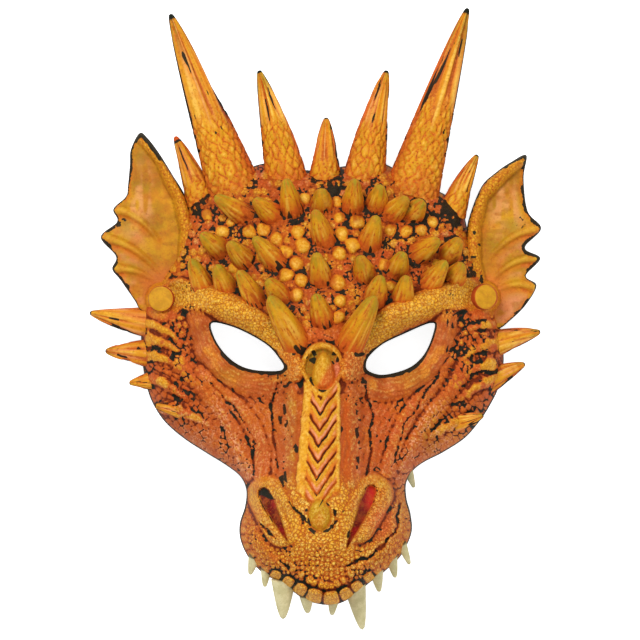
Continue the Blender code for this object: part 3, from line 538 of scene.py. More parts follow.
PLATES = lip_plates()
HEAD_LOOP = closed_curve(HEAD, CELL)
EYE_LOOPS = [closed_curve(LEFT_EYE, CELL), closed_curve(RIGHT_EYE, CELL)]


def bridge_place(x, y):
    """Place across the bridge, from -1 to 1 between its edges, and how far down from the crest of its V."""
    x = x + 0.8 * (mottle(x, y, 3.2, 50) - 0.5)
    y = y + 0.9 * (mottle(x, y, 3.6, 51) - 0.5) + 0.3 * (mottle(x, y, 1.6, 52) - 0.5)
    off = x - np.interp(y, *zip(*BRIDGE_AXIS))
    half = np.where(off < 0, np.interp(y, *zip(*BRIDGE_LEFT)), np.interp(y, *zip(*BRIDGE_RIGHT)))
    turns = (CHEVRON_FIRST + CHEVRON_RISE * np.abs(off) - y) / CHEVRON_PITCH
    return off / half, turns - np.floor(turns), np.floor(turns)


def regions(x, y):
    """How far each place belongs to each painted part of the face, from 0 to 1."""
    found = {}
    found["brow"] = smooth(nearest_path(x, y, BROWS), BROW_HALF_WIDTH, 6.5)
    found["lid"] = smooth(nearest_path(x, y, LIDS), LID_HALF_WIDTH, 4.5)
    across, _, _ = bridge_place(x, y)
    shares = egg(x, y, RING_PLACE, RING_SIZE, RING_LEAN)
    bridge = smooth(np.abs(across), 1.06, 0.98) * smooth(y, BRIDGE_TOP + 5, BRIDGE_TOP + 2)
    foot = y - 0.75 * np.abs(x + 1.5)
    found["bridge"] = bridge * smooth(foot, BRIDGE_END - 4, BRIDGE_END - 1) * smooth(shares, 0.98, 1.04)
    found["muzzle"] = smooth(y + 0.25 * np.abs(x), -56, -66)
    found["forehead"] = smooth(y - 0.10 * np.abs(x), 6, 16) * (1 - found["brow"])
    slit = np.min([slit_share(x, y, s) for s in SLITS], axis=0)
    found["nostril"] = smooth(slit, 1.0, 0.75)
    rims = [np.abs(path_distance(x, y, s) - NOSTRIL_HALF_WIDTH - 1.5) for s in NOSTRILS]
    found["nostril_rim"] = np.max([smooth(rim, 4.5, 2.5) for rim in rims], axis=0)
    found["ring"] = smooth(np.abs(shares - 1) * RING_SIZE[0], RING_HALF_WIDTH, 0.9)
    found["socket"] = smooth(shares, 1.0, 0.88)
    found["bead"] = smooth(egg(x, y, BEAD_PLACE, BEAD_SIZE, BEAD_LEAN), 1.06, 0.96)
    found["knob"] = smooth(oval(x, y, KNOB_PLACE, KNOB_SIZE), 1.04, 0.90)
    return found


def small_nodules():
    """Little beads that fill the forehead between the nodules and the thorns."""
    dice = np.random.default_rng(11)
    places = []
    for row, y in enumerate(np.arange(4, 92, 4.3)):
        for x in np.arange(-88, 90, 5.0):
            spot = np.array((x + 2.5 * (row % 2), y)) + dice.uniform(-0.9, 0.9, 2)
            places.append((*spot, dice.uniform(1.5, 2.5)))
    places = np.array(places)
    kept = np.ones(len(places), bool)
    for x, y, size in NODULES:
        kept &= np.hypot(places[:, 0] - x, places[:, 1] - y) > size + 1.2
    for (x, y), _ in THORNS:
        kept &= np.hypot(places[:, 0] - x, places[:, 1] - y) > THORN_RADIUS + 0.6
    return places[kept]


def clear_nodules():
    """The nodules that stand clear of the thorns' feet."""
    return [n for n in NODULES if min(math.dist(n[:2], root) for root, _ in THORNS) > 5.0 + 0.5 * n[2]]


LITTLE = small_nodules()
BEADS = clear_nodules()


def forehead_relief(x, y, part):
    """Little beads and rubble on the forehead and temples, and the large round nodules."""
    little = np.zeros(np.shape(x))
    for px, py, size in LITTLE:
        near = (np.abs(x - px) < size) & (np.abs(y - py) < size)
        away = np.hypot(x[near] - px, y[near] - py)
        little[near] = np.maximum(little[near], 0.5 * size * np.sqrt(dome(away, size)))
    rubble, _ = pebbles(x, y, 2.0, 13, sharp=0.4)
    outer = np.maximum(part["forehead"], smooth(np.abs(x), 62, 70) * smooth(y, -16, -4))
    raised = (little + 0.70 * rubble) * outer
    part["nodule"] = np.zeros(np.shape(x))
    for px, py, size in BEADS:
        near = (np.abs(x - px) < size) & (np.abs(y - py) < size)
        lump = 1 + 0.42 * (mottle(x[near], y[near], 2.8, 15) - 0.5)
        ball = np.sqrt(dome(np.hypot(x[near] - px, y[near] - py) * lump, size))
        part["nodule"][near] = np.maximum(part["nodule"][near], ball)
        raised[near] = np.maximum(raised[near], 0.80 * size * ball)
    return raised


def fold_relief(x, y, part, raised):
    """Brows, lids, the folds under the eyes and the ridges that run out into the spikes."""
    raised = np.maximum(raised, BROW_HEIGHT * dome(nearest_path(x, y, BROWS), BROW_HALF_WIDTH))
    raised = np.maximum(raised, LID_HEIGHT * dome(nearest_path(x, y, LIDS), LID_HALF_WIDTH))
    swell = 0.65 + 0.5 * mottle(x, y, 11, 16)
    wider = 1.6 * (mottle(x, y, 8, 17) - 0.5)
    for path, half_width, height in FOLDS:
        raised = np.maximum(raised, height * swell * dome(path_distance(x, y, path), half_width + wider))
    feet = np.zeros(np.shape(x))
    knotty = 0.62 + 0.76 * mottle(x, y, 2.4, 75)
    for path in SPIKE_FEET:
        away, share = path_place(x, y, path)
        ridge = dome(away * knotty, FOOT_HALF_WIDTH - FOOT_NARROWING * share)
        feet = np.maximum(feet, (1 - 0.6 * share) * ridge)
    part["ridge"] = feet
    part["feet"] = feet * (1 - part["brow"])
    return np.maximum(raised, FOOT_HEIGHT * feet)


def cheek_relief(x, y, part, raised):
    """Pebbled brows, scaled cheeks, lines beside the folds and wrinkled lids."""
    cheek = (1 - part["brow"]) * (1 - part["forehead"]) * (1 - part["muzzle"]) * (1 - part["bridge"])
    fine, _ = pebbles(x, y, 1.9, 3)
    part["scale"], _ = pebbles(x, y, 3.0, 5, turn=0.6, stretch=1.35)
    patch = np.maximum(smooth(mottle(x, y, 9, 8), 0.20, 0.50), 1.6 * low_cheek(x, y))
    scales = part["scale"] * (0.40 + 0.60 * patch) * (1 - 0.75 * part["lid"]) * (1 - 0.2 * part["ridge"])
    fold = np.min([path_distance(x, y, path) for path, _, _ in FOLDS[:4]], axis=0)
    lines = 0.5 + 0.5 * np.sin(2 * math.pi * (fold / 3.1 + 0.5 * mottle(x, y, 10, 18)))
    near_nose = cheek * smooth(np.abs(x), 52, 40) * smooth(y, -14, -22) * (1 - part["lid"])
    lid = nearest_path(x, y, LIDS)
    wrinkle = 0.5 + 0.5 * np.sin(2 * math.pi * (lid / 2.4 + 0.6 * mottle(x, y, 7, 19)))
    raised = raised + 0.80 * fine * part["brow"] + scales * cheek
    return raised + 0.55 * lines * near_nose + 0.48 * wrinkle * part["lid"]


def muzzle_relief(x, y, part, raised):
    """The level ground between the nostrils, with coarse scales at the lip and finer ones above."""
    on_top = part["muzzle"] * (1 - part["bridge"])
    plateau = smooth(np.abs(x), 22, 10) * smooth(y, -108, -92) * smooth(y, -58, -70)
    coarse = smooth(y, -92, -106)
    at_lip = 1.15 * part["plate"] + 0.25 * part["small"]
    above = 0.45 * part["plate"] + 0.55 * part["small"]
    relief = coarse * at_lip + (1 - coarse) * above
    return raised + (MUZZLE_PLATEAU * plateau + relief * (1 - 0.3 * part["nostril_rim"])) * on_top


def bridge_relief(x, y, part, raised):
    """The nose's bridge: V-shaped ridges with a lesser stripe between, and a border on each side."""
    across, down, _ = bridge_place(x, y)
    borders = np.maximum(smooth(across, -0.48, -0.62), smooth(across, 0.78, 0.93))
    crest = np.maximum(smooth(down, 0.22, 0.06), smooth(down, 0.86, 0.97))
    arms = np.max([crest, 0.62 * smooth(down, 0.76, 0.58), 0.90 * borders], axis=0)
    arms = arms * (0.86 + 0.28 * mottle(x, y, 2.4, 53))
    edge = quarter_round(1.06 - np.abs(across), 0.2)
    return raised * (1 - part["bridge"]) + (1.6 + (CHEVRON_DEPTH - 0.9) * arms) * edge * part["bridge"]


def ring_relief(x, y, part, raised):
    """The ring with its bead between the eyes, and the knob over the muzzle."""
    shares = egg(x, y, RING_PLACE, RING_SIZE, RING_LEAN)
    ring = dome(np.abs(shares - 1) * RING_SIZE[0], RING_HALF_WIDTH) ** 0.8
    bead = np.sqrt(dome(egg(x, y, BEAD_PLACE, BEAD_SIZE, BEAD_LEAN), 1))
    raised = np.where(shares < 1, RING_FLOOR, raised)
    raised = np.max([raised, RING_HEIGHT * ring, BEAD_HEIGHT * bead], axis=0)
    knob = np.sqrt(dome(oval(x, y, KNOB_PLACE, KNOB_SIZE), 1))
    return np.where(knob > 0, np.maximum(KNOB_HEIGHT * knob + 1.0, raised * (1 - knob)), raised)


def nostril_relief(x, y, part, raised):
    """A swollen rim round each nostril, and the slit sunk into it."""
    for slit, shape in zip(NOSTRILS, SLITS):
        away = path_distance(x, y, slit)
        rim = dome(np.abs(away - NOSTRIL_HALF_WIDTH - NOSTRIL_RIM / 2), NOSTRIL_RIM)
        raised = np.maximum(raised, NOSTRIL_RIM_HEIGHT * rim + 0.9 * part["small"] * part["nostril_rim"])
        share = slit_share(x, y, shape)
        slope = 0.72 * NOSTRIL_RIM_HEIGHT * dome(np.maximum(away - 3.0, 0), 9.0)
        raised = np.where(away < NOSTRIL_HALF_WIDTH + 3, np.maximum(raised, slope), raised)
        raised = np.where(share < 1.25, np.minimum(raised, 1.5 + 14 * np.maximum(share - 0.95, 0)), raised)
        raised = raised - NOSTRIL_DEPTH * dome(share, 1.0) ** 0.7
    return raised


def lip_relief(x, y, part, raised):
    """The plates along the lip."""
    part["lip"] = np.zeros(np.shape(x))
    for middle, along, outward, length, depth, height in PLATES:
        u = (x - middle[0]) * along[0] + (y - middle[1]) * along[1]
        v = (x - middle[0]) * outward[0] + (y - middle[1]) * outward[1]
        power = 3.0 if length > 6 else 2.2
        share = np.abs(2 * u / (length - LIP_SPACE)) ** power + np.abs(2 * v / depth) ** power
        bump = height * np.sqrt(np.clip(1 - share, 0, 1))
        raised = np.maximum(raised, bump + 0.3 * part["small"] * (bump > 0))
        part["lip"] = np.maximum(part["lip"], bump / height * min(1.0, height / 4.0))
    return raised


def crease_relief(x, y, part, raised):
    """Creases of uneven width that follow the grooves between the scales."""
    part["crease"] = np.zeros(np.shape(x))
    uneven = 0.35 + 0.75 * mottle(x, y, 2.2, 35)
    px = x + 2.2 * (mottle(x, y, 4.0, 62) - 0.5) + 0.7 * (part["small"] - 0.5)
    py = y + 2.2 * (mottle(x, y, 4.0, 63) - 0.5) + 0.7 * (part["plate"] - 0.5)
    for path, half_width, depth in CREASES:
        cut = dome(path_distance(px, py, path), half_width * uneven)
        part["crease"] = np.maximum(part["crease"], cut)
        raised = raised - 0.8 * depth * cut
    return raised


# In this order, and all with the same arguments: place, parts and the height so far.
RELIEFS = (
    fold_relief, cheek_relief, muzzle_relief, bridge_relief,
    ring_relief, nostril_relief, lip_relief, crease_relief,
)


def carving(x, y):
    """Height of the carving over the smooth face, and the parts it belongs to."""
    part = regions(x, y)
    part["plate"], _ = pebbles(x, y, 2.5, 7, sharp=0.36)
    part["small"], _ = pebbles(x, y, 1.9, 9, sharp=0.4)
    raised = forehead_relief(x, y, part)
    for relief in RELIEFS:
        raised = relief(x, y, part, raised)
    return raised, part


def shell_heights(x, y):
    """Top and bottom of the foam at each place inside the head's outline, with the painted parts."""
    depth = np.where(inside(x, y, HEAD_LOOP), loop_distance(x, y, HEAD_LOOP), 0.0)
    rim = rim_height(y)
    floor = np.where(rim > 0, rim, 0.0)
    form = face_height(x, y)
    raised, part = carving(x, y)
    top = rim + (form + raised - rim) * quarter_round(depth, EDGE_RADIUS)
    for place in BUTTONS.values():
        away = np.hypot(x - place[0], y - place[1])
        seat = BUTTON_TOP_Z - BUTTON_SHOWS + SEAT_SLOPE * np.maximum(away - BUTTON_RADIUS - SEAT_GAP, 0)
        top = np.minimum(top, seat)
    inner = form - WALL
    for slit in NOSTRILS:
        inner = inner - NOSTRIL_DEPTH * dome(path_distance(x, y, slit), 3 * NOSTRIL_HALF_WIDTH)
    hollow = floor + (inner - floor) * quarter_round(np.maximum(depth - WALL, 0), EDGE_RADIUS)
    return np.maximum(top, 0.2), np.maximum(hollow, floor), part


def mixed(base, colour, amount):
    """The base colours, with the colour laid over them by the amount at each place."""
    amount = np.clip(np.asarray(amount, float), 0, 1)[..., None]
    return np.asarray(base, float) * (1 - amount) + np.asarray(colour, float) * amount


def painted(base, *coats):
    """The base colours under coats of (colour, amount), laid on in this order."""
    for colour, amount in coats:
        base = mixed(base, colour, amount)
    return base


def low_cheek(x, y):
    """1 on the lower cheeks outside the deep creases, whose scales read as rings, and 0 elsewhere."""
    outward = 0.89 * (np.abs(x - 1) - 55) - 0.46 * (y + 23)
    return smooth(outward, -3, 1) * smooth(y, -24, -31)


def roots_near(x, y):
    """1 close round the foot of a thorn or a horn, and 0 away from it."""
    close = np.zeros(np.shape(x))
    for root, _ in THORNS:
        away = np.hypot(x - root[0], y - root[1])
        close = np.maximum(close, smooth(away, THORN_RADIUS + 2.4, THORN_RADIUS - 0.8))
    for root, bend, _, radius in [*HORNS.values(), *FROWNS.values()]:
        away = path_distance(x, y, (root[:2], bend[:2]))
        close = np.maximum(close, smooth(away, radius + 2.0, radius - 1.5) * (0.8 if radius < 10 else 0.35))
    return close


def cheek_paint(x, y, part, raised, fine, tiny):
    """Terracotta cheeks, gold on the temples and ridges, and the ringed scales low down."""
    temple = smooth(np.abs(x), 58, 72) * smooth(y, -46, -16)
    scaled = low_cheek(x, y) * smooth(fine, 0.10, 0.40)
    scale = part["scale"]
    return painted(
        TERRACOTTA,
        (RED_ORANGE, 0.6 * smooth(mottle(x, y, 14, 21), 0.35, 0.75)),
        (ORANGE, 0.55 * smooth(mottle(x, y, 8, 24), 0.5, 0.8)),
        # Pale rims round the scales: dry-brushed paint and painted highlight.
        (PEACH, 0.75 * smooth(np.abs(scale - 0.55), 0.30, 0.10) * smooth(fine, 0.30, 0.65)),
        (RED_ORANGE, 0.5 * temple),
        (GOLD, 0.85 * temple * raised * smooth(fine, 0.35, 0.6)),
        (GOLD, 1.2 * glow(x, y, (69, -39), (13, 10)) * (0.4 + 0.6 * raised)),
        (OLIVE, 0.7 * glow(x, y, (57, -47), (5, 8))),
        # Low down, pale scale rims are dry-brushed paint and painted highlight; the darker grooves are partly
        # darker paint, partly painted shade.
        (SCALE_RIM_DRYBRUSH_AND_GLINT, 0.85 * scaled * smooth(np.abs(scale - 0.50), 0.28, 0.12)),
        (SCALE_GROOVE, 0.70 * scaled * smooth(scale, 0.25, 0.05)),
        (SCALE_MIDDLE, 0.60 * scaled * smooth(scale, 0.76, 0.94)),
        (GOLD, 0.85 * smooth(part["feet"], 0.20, 0.60) * smooth(0.6 * fine + 0.6 * tiny, 0.48, 0.70)),
    )


def forehead_paint(part, hollow, raised, fine, tiny):
    """Red and orange ground with gold tops, and golden nodules."""
    ground = painted(
        RED_ORANGE,
        (ORANGE, smooth(fine, 0.25, 0.55)),
        (PEACH, 0.65 * raised * smooth(tiny, 0.40, 0.70)),
        (GOLD, 0.90 * smooth(hollow, 0.46, 0.58) * smooth(fine + 0.3 * tiny, 0.40, 0.65)),
        (PALE_GOLD, 0.70 * smooth(hollow, 0.62, 0.80) * smooth(tiny, 0.30, 0.60)),
    )
    nodule = painted(
        ORANGE,
        (GOLD, smooth(part["nodule"], 0.40, 0.78)),
        (PALE_GOLD, 0.6 * smooth(part["nodule"], 0.88, 1.0) * smooth(tiny, 0.3, 0.7)),
    )
    return mixed(ground, nodule, smooth(part["nodule"], 0.0, 0.15))


def muzzle_paint(x, hollow, raised, fine, tiny):
    """Gold scales over orange, browner in the grooves and redder at the sides."""
    return painted(
        ORANGE,
        (GOLD, smooth(hollow + 0.20 * (fine - 0.5), 0.32, 0.48)),
        (PALE_GOLD, 0.85 * smooth(hollow, 0.52, 0.66) * smooth(tiny, 0.25, 0.55)),
        (OCHRE, 0.5 * smooth(tiny, 0.6, 0.8)),
        (RED_ORANGE, 0.55 * smooth(fine, 0.62, 0.80) * (1 - raised)),
        (ORANGE, 0.40 * smooth(np.abs(x - 1), 26, 40)),
        # Browner in the grooves: partly darker paint, partly painted shade.
        (BROWN, 0.60 * smooth(hollow, 0.36, 0.24)),
    )


def brow_paint(x, y, hollow, tiny):
    """Golden brows, orange at their edges and red at their inner ends."""
    inner = smooth(y, 5, -4) * smooth(np.abs(x - 1), 9, 13)
    return painted(
        BROW_GOLD,
        (ORANGE, 0.45 * smooth(hollow, 0.50, 0.34)),
        (OCHRE, 0.40 * smooth(tiny, 0.60, 0.80)),
        (ORANGE, 0.75 * smooth(nearest_path(x, y, BROWS), 4.5, 8.0)),
        (np.where(x[:, None] > 0, RED_ORANGE, ORANGE), 0.85 * inner),
    )


def lid_paint(x, y, fine, tiny):
    """Terracotta lids with darker patches and a lighter line along the middle."""
    middle = nearest_path(x, y, LIDS)
    return painted(
        TERRACOTTA,
        (ORANGE, 0.6 * smooth(fine, 0.4, 0.7)),
        (PEACH, 0.25 * smooth(tiny, 0.5, 0.8)),
        (LID_RED, 0.55 * smooth(mottle(x, y, 6, 54), 0.45, 0.75)),
        (OCHRE, 0.45 * glow(np.abs(x), y, (46, -13), (9, 5))),
        (LID_LIGHT, 0.60 * smooth(np.abs(middle - 1.0), 2.2, 0.4) * smooth(fine, 0.30, 0.60)),
    )


def bridge_paint(x, y, fine, tiny):
    """Golden crests and borders, a pink stripe between the crests and brown in the groove."""
    across, down, _ = bridge_place(x, y)
    border = np.maximum(smooth(across, -0.46, -0.60), smooth(across, 0.78, 0.92))
    return painted(
        GOLD,
        (ORANGE, 0.8 * smooth(np.abs(down - 0.46), 0.22, 0.14)),
        (PINK, 0.75 * smooth(np.abs(down - 0.46), 0.18, 0.08) * smooth(fine, 0.30, 0.60)),
        (RED_ORANGE, 0.85 * smooth(np.abs(down - 0.66), 0.13, 0.05)),
        (BROWN, 0.9 * smooth(np.abs(down - 0.80), 0.08, 0.03)),
        (GOLD, border),
        (PALE_GOLD, 0.45 * smooth(tiny, 0.5, 0.8) * border),
    )


def ring_coats(x, y, part, tiny):
    """Coats of the ring: its moat, the ring itself and the bead, each redder towards the lower right."""
    turn = np.arctan2(y - BEAD_PLACE[1], x - BEAD_PLACE[0])
    moat = painted(
        OLIVE,
        (RED_ORANGE, smooth(np.cos(turn + 0.5), 0.0, 0.7)),
        (PINK, 0.6 * smooth(np.cos(turn), 0.6, 0.95) * smooth(tiny, 0.3, 0.6)),
    )
    ring = mixed(GOLD, ORANGE, 0.8 * smooth(np.cos(turn + 0.3), 0.3, 0.9))
    lean = (x - BEAD_PLACE[0]) / BEAD_SIZE[0] - (y - BEAD_PLACE[1]) / BEAD_SIZE[1]
    bead = mixed(BEAD_GOLD, BEAD_RED, smooth(lean, -0.15, 0.55))
    return (moat, part["socket"] * (1 - part["bead"])), (ring, part["ring"]), (bead, part["bead"])


def face_paint(x, y, part, hollow):
    """Base paint of the face by place. hollow is 0 in grooves and 1 on raised ground."""
    fine = mottle(x, y, 4.5, 22)
    tiny = mottle(x, y, 2.2, 23)
    raised = smooth(hollow, 0.46, 0.66)
    strip = smooth(y, BRIDGE_TOP, BRIDGE_TOP - 6) * smooth(y, -72, -62)
    plates = mixed(ORANGE, PLATE_GOLD, smooth(part["lip"], 0.25, 0.60))
    plates = mixed(plates, OCHRE, 0.4 * smooth(fine, 0.5, 0.8))
    inside_nose = mixed(NOSE_DARK, NOSE_RED, smooth(fine, 0.4, 0.8))
    inside_nose = mixed(inside_nose, NOSE_BRIGHT, smooth(x, 20, 26) * smooth(y, -84, -76))
    return painted(
        cheek_paint(x, y, part, raised, fine, tiny),
        (forehead_paint(part, hollow, raised, fine, tiny), part["forehead"]),
        (ORANGE, 0.9 * part["muzzle"]),
        (muzzle_paint(x, hollow, raised, fine, tiny), part["muzzle"]),
        (brow_paint(x, y, hollow, tiny), part["brow"]),
        (lid_paint(x, y, fine, tiny), part["lid"] * (1 - part["brow"]) * (1 - part["ring"])),
        (GOLD, 0.8 * part["nostril_rim"]),
        (OCHRE, 0.6 * part["nostril_rim"] * smooth(tiny, 0.5, 0.8)),
        (ORANGE, 0.6 * part["nostril_rim"] * smooth(fine, 0.5, 0.8)),
        (FLUSH, 1.2 * glow(x, y, (31, -86), (6.5, 9))),
        (BROWN, 0.45 * strip * smooth(np.abs(x + 14), 4.0, 2.0)),
        (OCHRE, 0.50 * strip * smooth(np.abs(x + 14), 3.0, 1.0) * smooth(fine, 0.5, 0.75)),
        (SIDE_RED, 0.85 * strip * smooth(np.abs(x - 15), 4.5, 2.5)),
        (bridge_paint(x, y, fine, tiny), part["bridge"]),
        *ring_coats(x, y, part, tiny),
        (KNOB_OCHRE, part["knob"]),
        (ORANGE, 0.35 * part["knob"] * smooth(fine, 0.5, 0.8)),
        (plates, smooth(part["lip"], 0.02, 0.2)),
        (inside_nose, part["nostril"]),
    )


def forehead_blackness(x, y, part, near, wide):
    """Black specks between the nodules, round the thorns' feet and in the deepest ground; round the feet the
    black is partly painted shade under the leaning thorns.
    """
    broken = 0.45 * mottle(x, y, 5.0, 55) + 0.35 * mottle(x, y, 2.3, 56) + 0.35 * mottle(x, y, 1.2, 57)
    specks = 0.95 * smooth(broken, 0.535, 0.615) * smooth(near, 0.10, -0.22)
    # Round the thorns' feet, shifted to the side they lean over: partly the black first coat, partly painted
    # shade under the thorns.
    foot = 0.9 * roots_near(x - 1.4, y - 0.9) * smooth(broken, 0.53, 0.61)
    deepest = 0.9 * smooth(wide, -0.4, -1.6) * smooth(broken, 0.56, 0.64)
    return np.max([specks, foot, deepest], axis=0) * part["forehead"] * (part["nodule"] < 0.25)


def cheek_grime(x, y, part, near, soft, spotty):
    """Black in the cheeks' pits and creases, in patches on the temples and at the eyes' inner corners."""
    cheeks = (1 - part["forehead"]) * (1 - part["bridge"]) * (1 - part["brow"])
    pits = smooth(near, -0.05, -0.40) * smooth(mottle(x, y, 5.0, 36) + 0.30 * spotty, 0.72, 0.90)
    temple = smooth(np.abs(x), 60, 68) * smooth(y, -42, -30)
    patchy = 0.50 * mottle(x, y, 4.6, 37) + 0.34 * mottle(x, y, 2.0, 71) + 0.26 * mottle(x, y, 1.0, 72)
    corner = glow(np.abs(x), y, (20, -17), (7, 7)) * smooth(mottle(x, y, 1.8, 38), 0.66, 0.80)
    found = [
        0.9 * cheeks * pits,
        0.95 * temple * smooth(patchy, 0.615, 0.67) * smooth(near, 0.25, -0.05),
        corner,
        part["crease"] * smooth(0.4 * soft + 0.9 * mottle(x, y, 1.5, 58), 0.45, 0.70),
    ]
    for place, size, wanted in RING_SMUDGES:
        patch = smooth(oval(x, y, place, size), 1.3, 0.7)
        found.append(patch * smooth(mottle(x, y, 1.7, 60), wanted, wanted + 0.15))
    strip = 0.9 * smooth(y, BRIDGE_TOP, BRIDGE_TOP - 5) * smooth(y, -72, -64)
    dashes = smooth(0.5 * mottle(x, y, 1.1, 65) + 0.5 * mottle(x, y, 3.4, 69), 0.46, 0.58)
    for side, reach in BRIDGE_LINES:
        away = np.abs(x - side + 2.4 * (mottle(0 * x, y, 4.5, 64) - 0.5))
        found.append(strip * smooth(away, reach + 0.7, reach - 0.3) * dashes)
    return np.max(found, axis=0)


def bridge_grime(x, y, part, spotty):
    """Black in the grooves of the V rows, stronger in every other row."""
    across, down, row = bridge_place(x, y)
    blackened = np.where(np.mod(row, 2) == 0, 1.0, 0.55) * smooth(np.abs(across - 0.1), 0.50, 0.20) + 0.22
    groove = smooth(np.abs(down - 0.81), 0.085, 0.03) * smooth(np.abs(across - 0.14), 0.62, 0.46)
    return part["bridge"] * groove * blackened * smooth(spotty, 0.25, 0.55)


def ring_grime(x, y, part, grime):
    """The grime with four black smudges in the ring's moat and none elsewhere in the ring."""
    turn = np.arctan2(y - BEAD_PLACE[1], x - BEAD_PLACE[0])
    moat = part["socket"] * (1 - part["bead"])
    dark = np.max([smooth(np.cos(turn - math.radians(a)), 0.93, 0.985) for a in MOAT_SMUDGES], axis=0)
    dark = dark * smooth(mottle(x, y, 1.5, 61), 0.20, 0.42)
    return np.where(moat > 0.3, moat * dark, grime * (1 - part["socket"]))


def rim_grime(x, y):
    """Black at the outline and round the eye holes, thicker and ragged under the eyes."""
    rim = np.min([loop_distance(x, y, loop) for loop in (HEAD_LOOP, *EYE_LOOPS)], axis=0)
    under_eye = np.min([loop_distance(x, y, loop) for loop in EYE_LOOPS], axis=0)
    below = smooth(y + 0.42 * np.abs(np.abs(x) - 38) + 5 * (mottle(x, y, 3.0, 76) - 0.5), 9, 0)
    ragged = (1.2 + 1.1 * mottle(x, y, 2.0, 67)) * (0.35 + 0.65 * below)
    under = smooth(below, 0.02, 0.10) * smooth(under_eye, ragged + 0.5, ragged - 0.3)
    return np.maximum(under, smooth(rim, 1.3, 0.5))


def face_blackness(x, y, part, near, wide):
    """Where the black first coat shows: rims, broken creases and the deepest ground, with painted shade round
    the thorns' feet. 0 to 1.
    """
    soft = mottle(x, y, 6.5, 31)
    spotty = mottle(x, y, 2.6, 33)
    grime = np.maximum(forehead_blackness(x, y, part, near, wide), cheek_grime(x, y, part, near, soft, spotty))
    grime = np.maximum(grime * (1 - part["bridge"]), bridge_grime(x, y, part, spotty))
    grime = ring_grime(x, y, part, grime)
    beside = smooth(oval(x, y, KNOB_PLACE, KNOB_SIZE), 1.35, 1.10) * (1 - part["knob"])
    lower = smooth(y, KNOB_PLACE[1] + 6, KNOB_PLACE[1] + 2)
    dotted = 0.95 * beside * lower * smooth(mottle(x, y, 1.9, 59), 0.50, 0.66)
    ridge = smooth(part["lip"], 0.22, 0.04) * smooth(y + 0.62 * np.abs(x), -92, -100)
    ridge = ridge * smooth(near, -0.10, -0.55) * smooth(soft + 0.3 * spotty, 0.48, 0.66)
    grime = np.max([grime, dotted, ridge], axis=0)
    left_nostril = smooth(mottle(x, y, 5, 39) + 0.07 * (y + 78), 0.45, 0.70)
    grime = np.where(part["nostril"] > 0.4, np.where(x < 0, left_nostril, 0.0), grime)
    for place in BUTTONS.values():
        grime = grime * smooth(np.hypot(x - place[0], y - place[1]), SEAT_RADIUS + 1.0, SEAT_RADIUS + 5.0)
    return np.maximum(grime, rim_grime(x, y))


def add_attributes(mesh, attributes):
    """Writes each array on the mesh's points: three columns as colour, one as a number."""
    for name, values in attributes.items():
        values = np.asarray(values, float)
        if values.ndim == 2:
            layer = mesh.attributes.new(name, "FLOAT_COLOR", "POINT")
            layer.data.foreach_set("color", np.column_stack([values, np.ones(len(values))]).ravel())
        else:
            layer = mesh.attributes.new(name, "FLOAT", "POINT")
            layer.data.foreach_set("value", values)


def build(name, points, faces, attributes, materials, material_of=None, stands_for="mask", finish="foam"):
    """A piece of the scene from points in the design's millimetres. It rides on the mask's body."""
    mesh = bpy.data.meshes.new(name)
    mesh.from_pydata(((np.asarray(points) + SHIFT) * MM).tolist(), [], [tuple(face) for face in faces])
    add_attributes(mesh, attributes)
    for material in materials:
        mesh.materials.append(material)
    if material_of is not None:
        mesh.polygons.foreach_set("material_index", np.asarray(material_of, np.int32))
    mesh.validate()
    mesh.shade_smooth()
    thing = bpy.data.objects.new(name, mesh)
    bpy.context.scene.collection.objects.link(thing)
    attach(thing, "root")
    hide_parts(stands_for)
    return thing


def flat_mesh(loops, cell):
    """Points and triangles that fill the first loop, apart from the others, with a grid of the cell."""
    low, high = loops[0].min(axis=0), loops[0].max(axis=0)
    across = np.arange(low[0], high[0], cell)
    grid = np.meshgrid(across, np.arange(low[1], high[1], cell * math.sqrt(3) / 2))
    grid[0][1::2] += cell / 2
    x, y = (values.ravel() for values in grid)
    kept = inside(x, y, loops[0])
    for loop in loops:
        kept[kept] = loop_distance(x[kept], y[kept], loop) > min(cell / 2, 0.6)
    for loop in loops[1:]:
        kept[kept] = ~inside(x[kept], y[kept], loop)
    points = np.vstack([*loops, np.column_stack([x[kept], y[kept]])])
    edges, start = [], 0
    for loop in loops:
        edges += [(start + i, start + (i + 1) % len(loop)) for i in range(len(loop))]
        start += len(loop)
    flat, _, faces, _, _, _ = delaunay_2d_cdt([Vector(p) for p in points], edges, [], 0, 1e-6)
    flat, faces = np.array([tuple(p) for p in flat]), np.array(faces)
    centre = flat[faces].mean(axis=1)
    wanted = inside(centre[:, 0], centre[:, 1], loops[0])
    for loop in loops[1:]:
        wanted &= ~inside(centre[:, 0], centre[:, 1], loop)
    return flat, faces[wanted], start


def sheet(name, loops, top_of, bottom_of, materials, cell, back_cell):
    """A closed sheet with a fine painted top, a coarser raw back and raw sides."""
    top_flat, top_faces, edge = flat_mesh(loops, cell)
    back_flat, back_faces, _ = flat_mesh(loops, back_cell)
    top_z, attributes = top_of(top_flat[:, 0], top_flat[:, 1])
    back_z = bottom_of(back_flat[:, 0], back_flat[:, 1])
    back_z[:edge] = np.minimum(back_z[:edge], top_z[:edge] - 0.05)
    count = len(top_flat)
    points = np.vstack([np.column_stack([top_flat, top_z]), np.column_stack([back_flat, back_z])])
    sides, start = [], 0
    for loop in loops:
        number = len(loop)
        for i in range(number):
            a, b = start + i, start + (i + 1) % number
            sides.append((a, b, b + count, a + count))
        start += number
    area = np.cross(loops[0], np.roll(loops[0], -1, axis=0)).sum()
    if area > 0:
        sides = [face[::-1] for face in sides]
    faces = [*top_faces.tolist(), *(back_faces[:, ::-1] + count).tolist(), *sides]
    kinds = [0] * len(top_faces) + [1] * (len(back_faces) + len(sides))
    filled = {}
    for key, values in attributes.items():
        values = np.asarray(values, float)
        rest = np.zeros((len(back_flat), *values.shape[1:]))
        filled[key] = np.concatenate([values, rest])
    return build(name, points, faces, filled, materials, kinds)


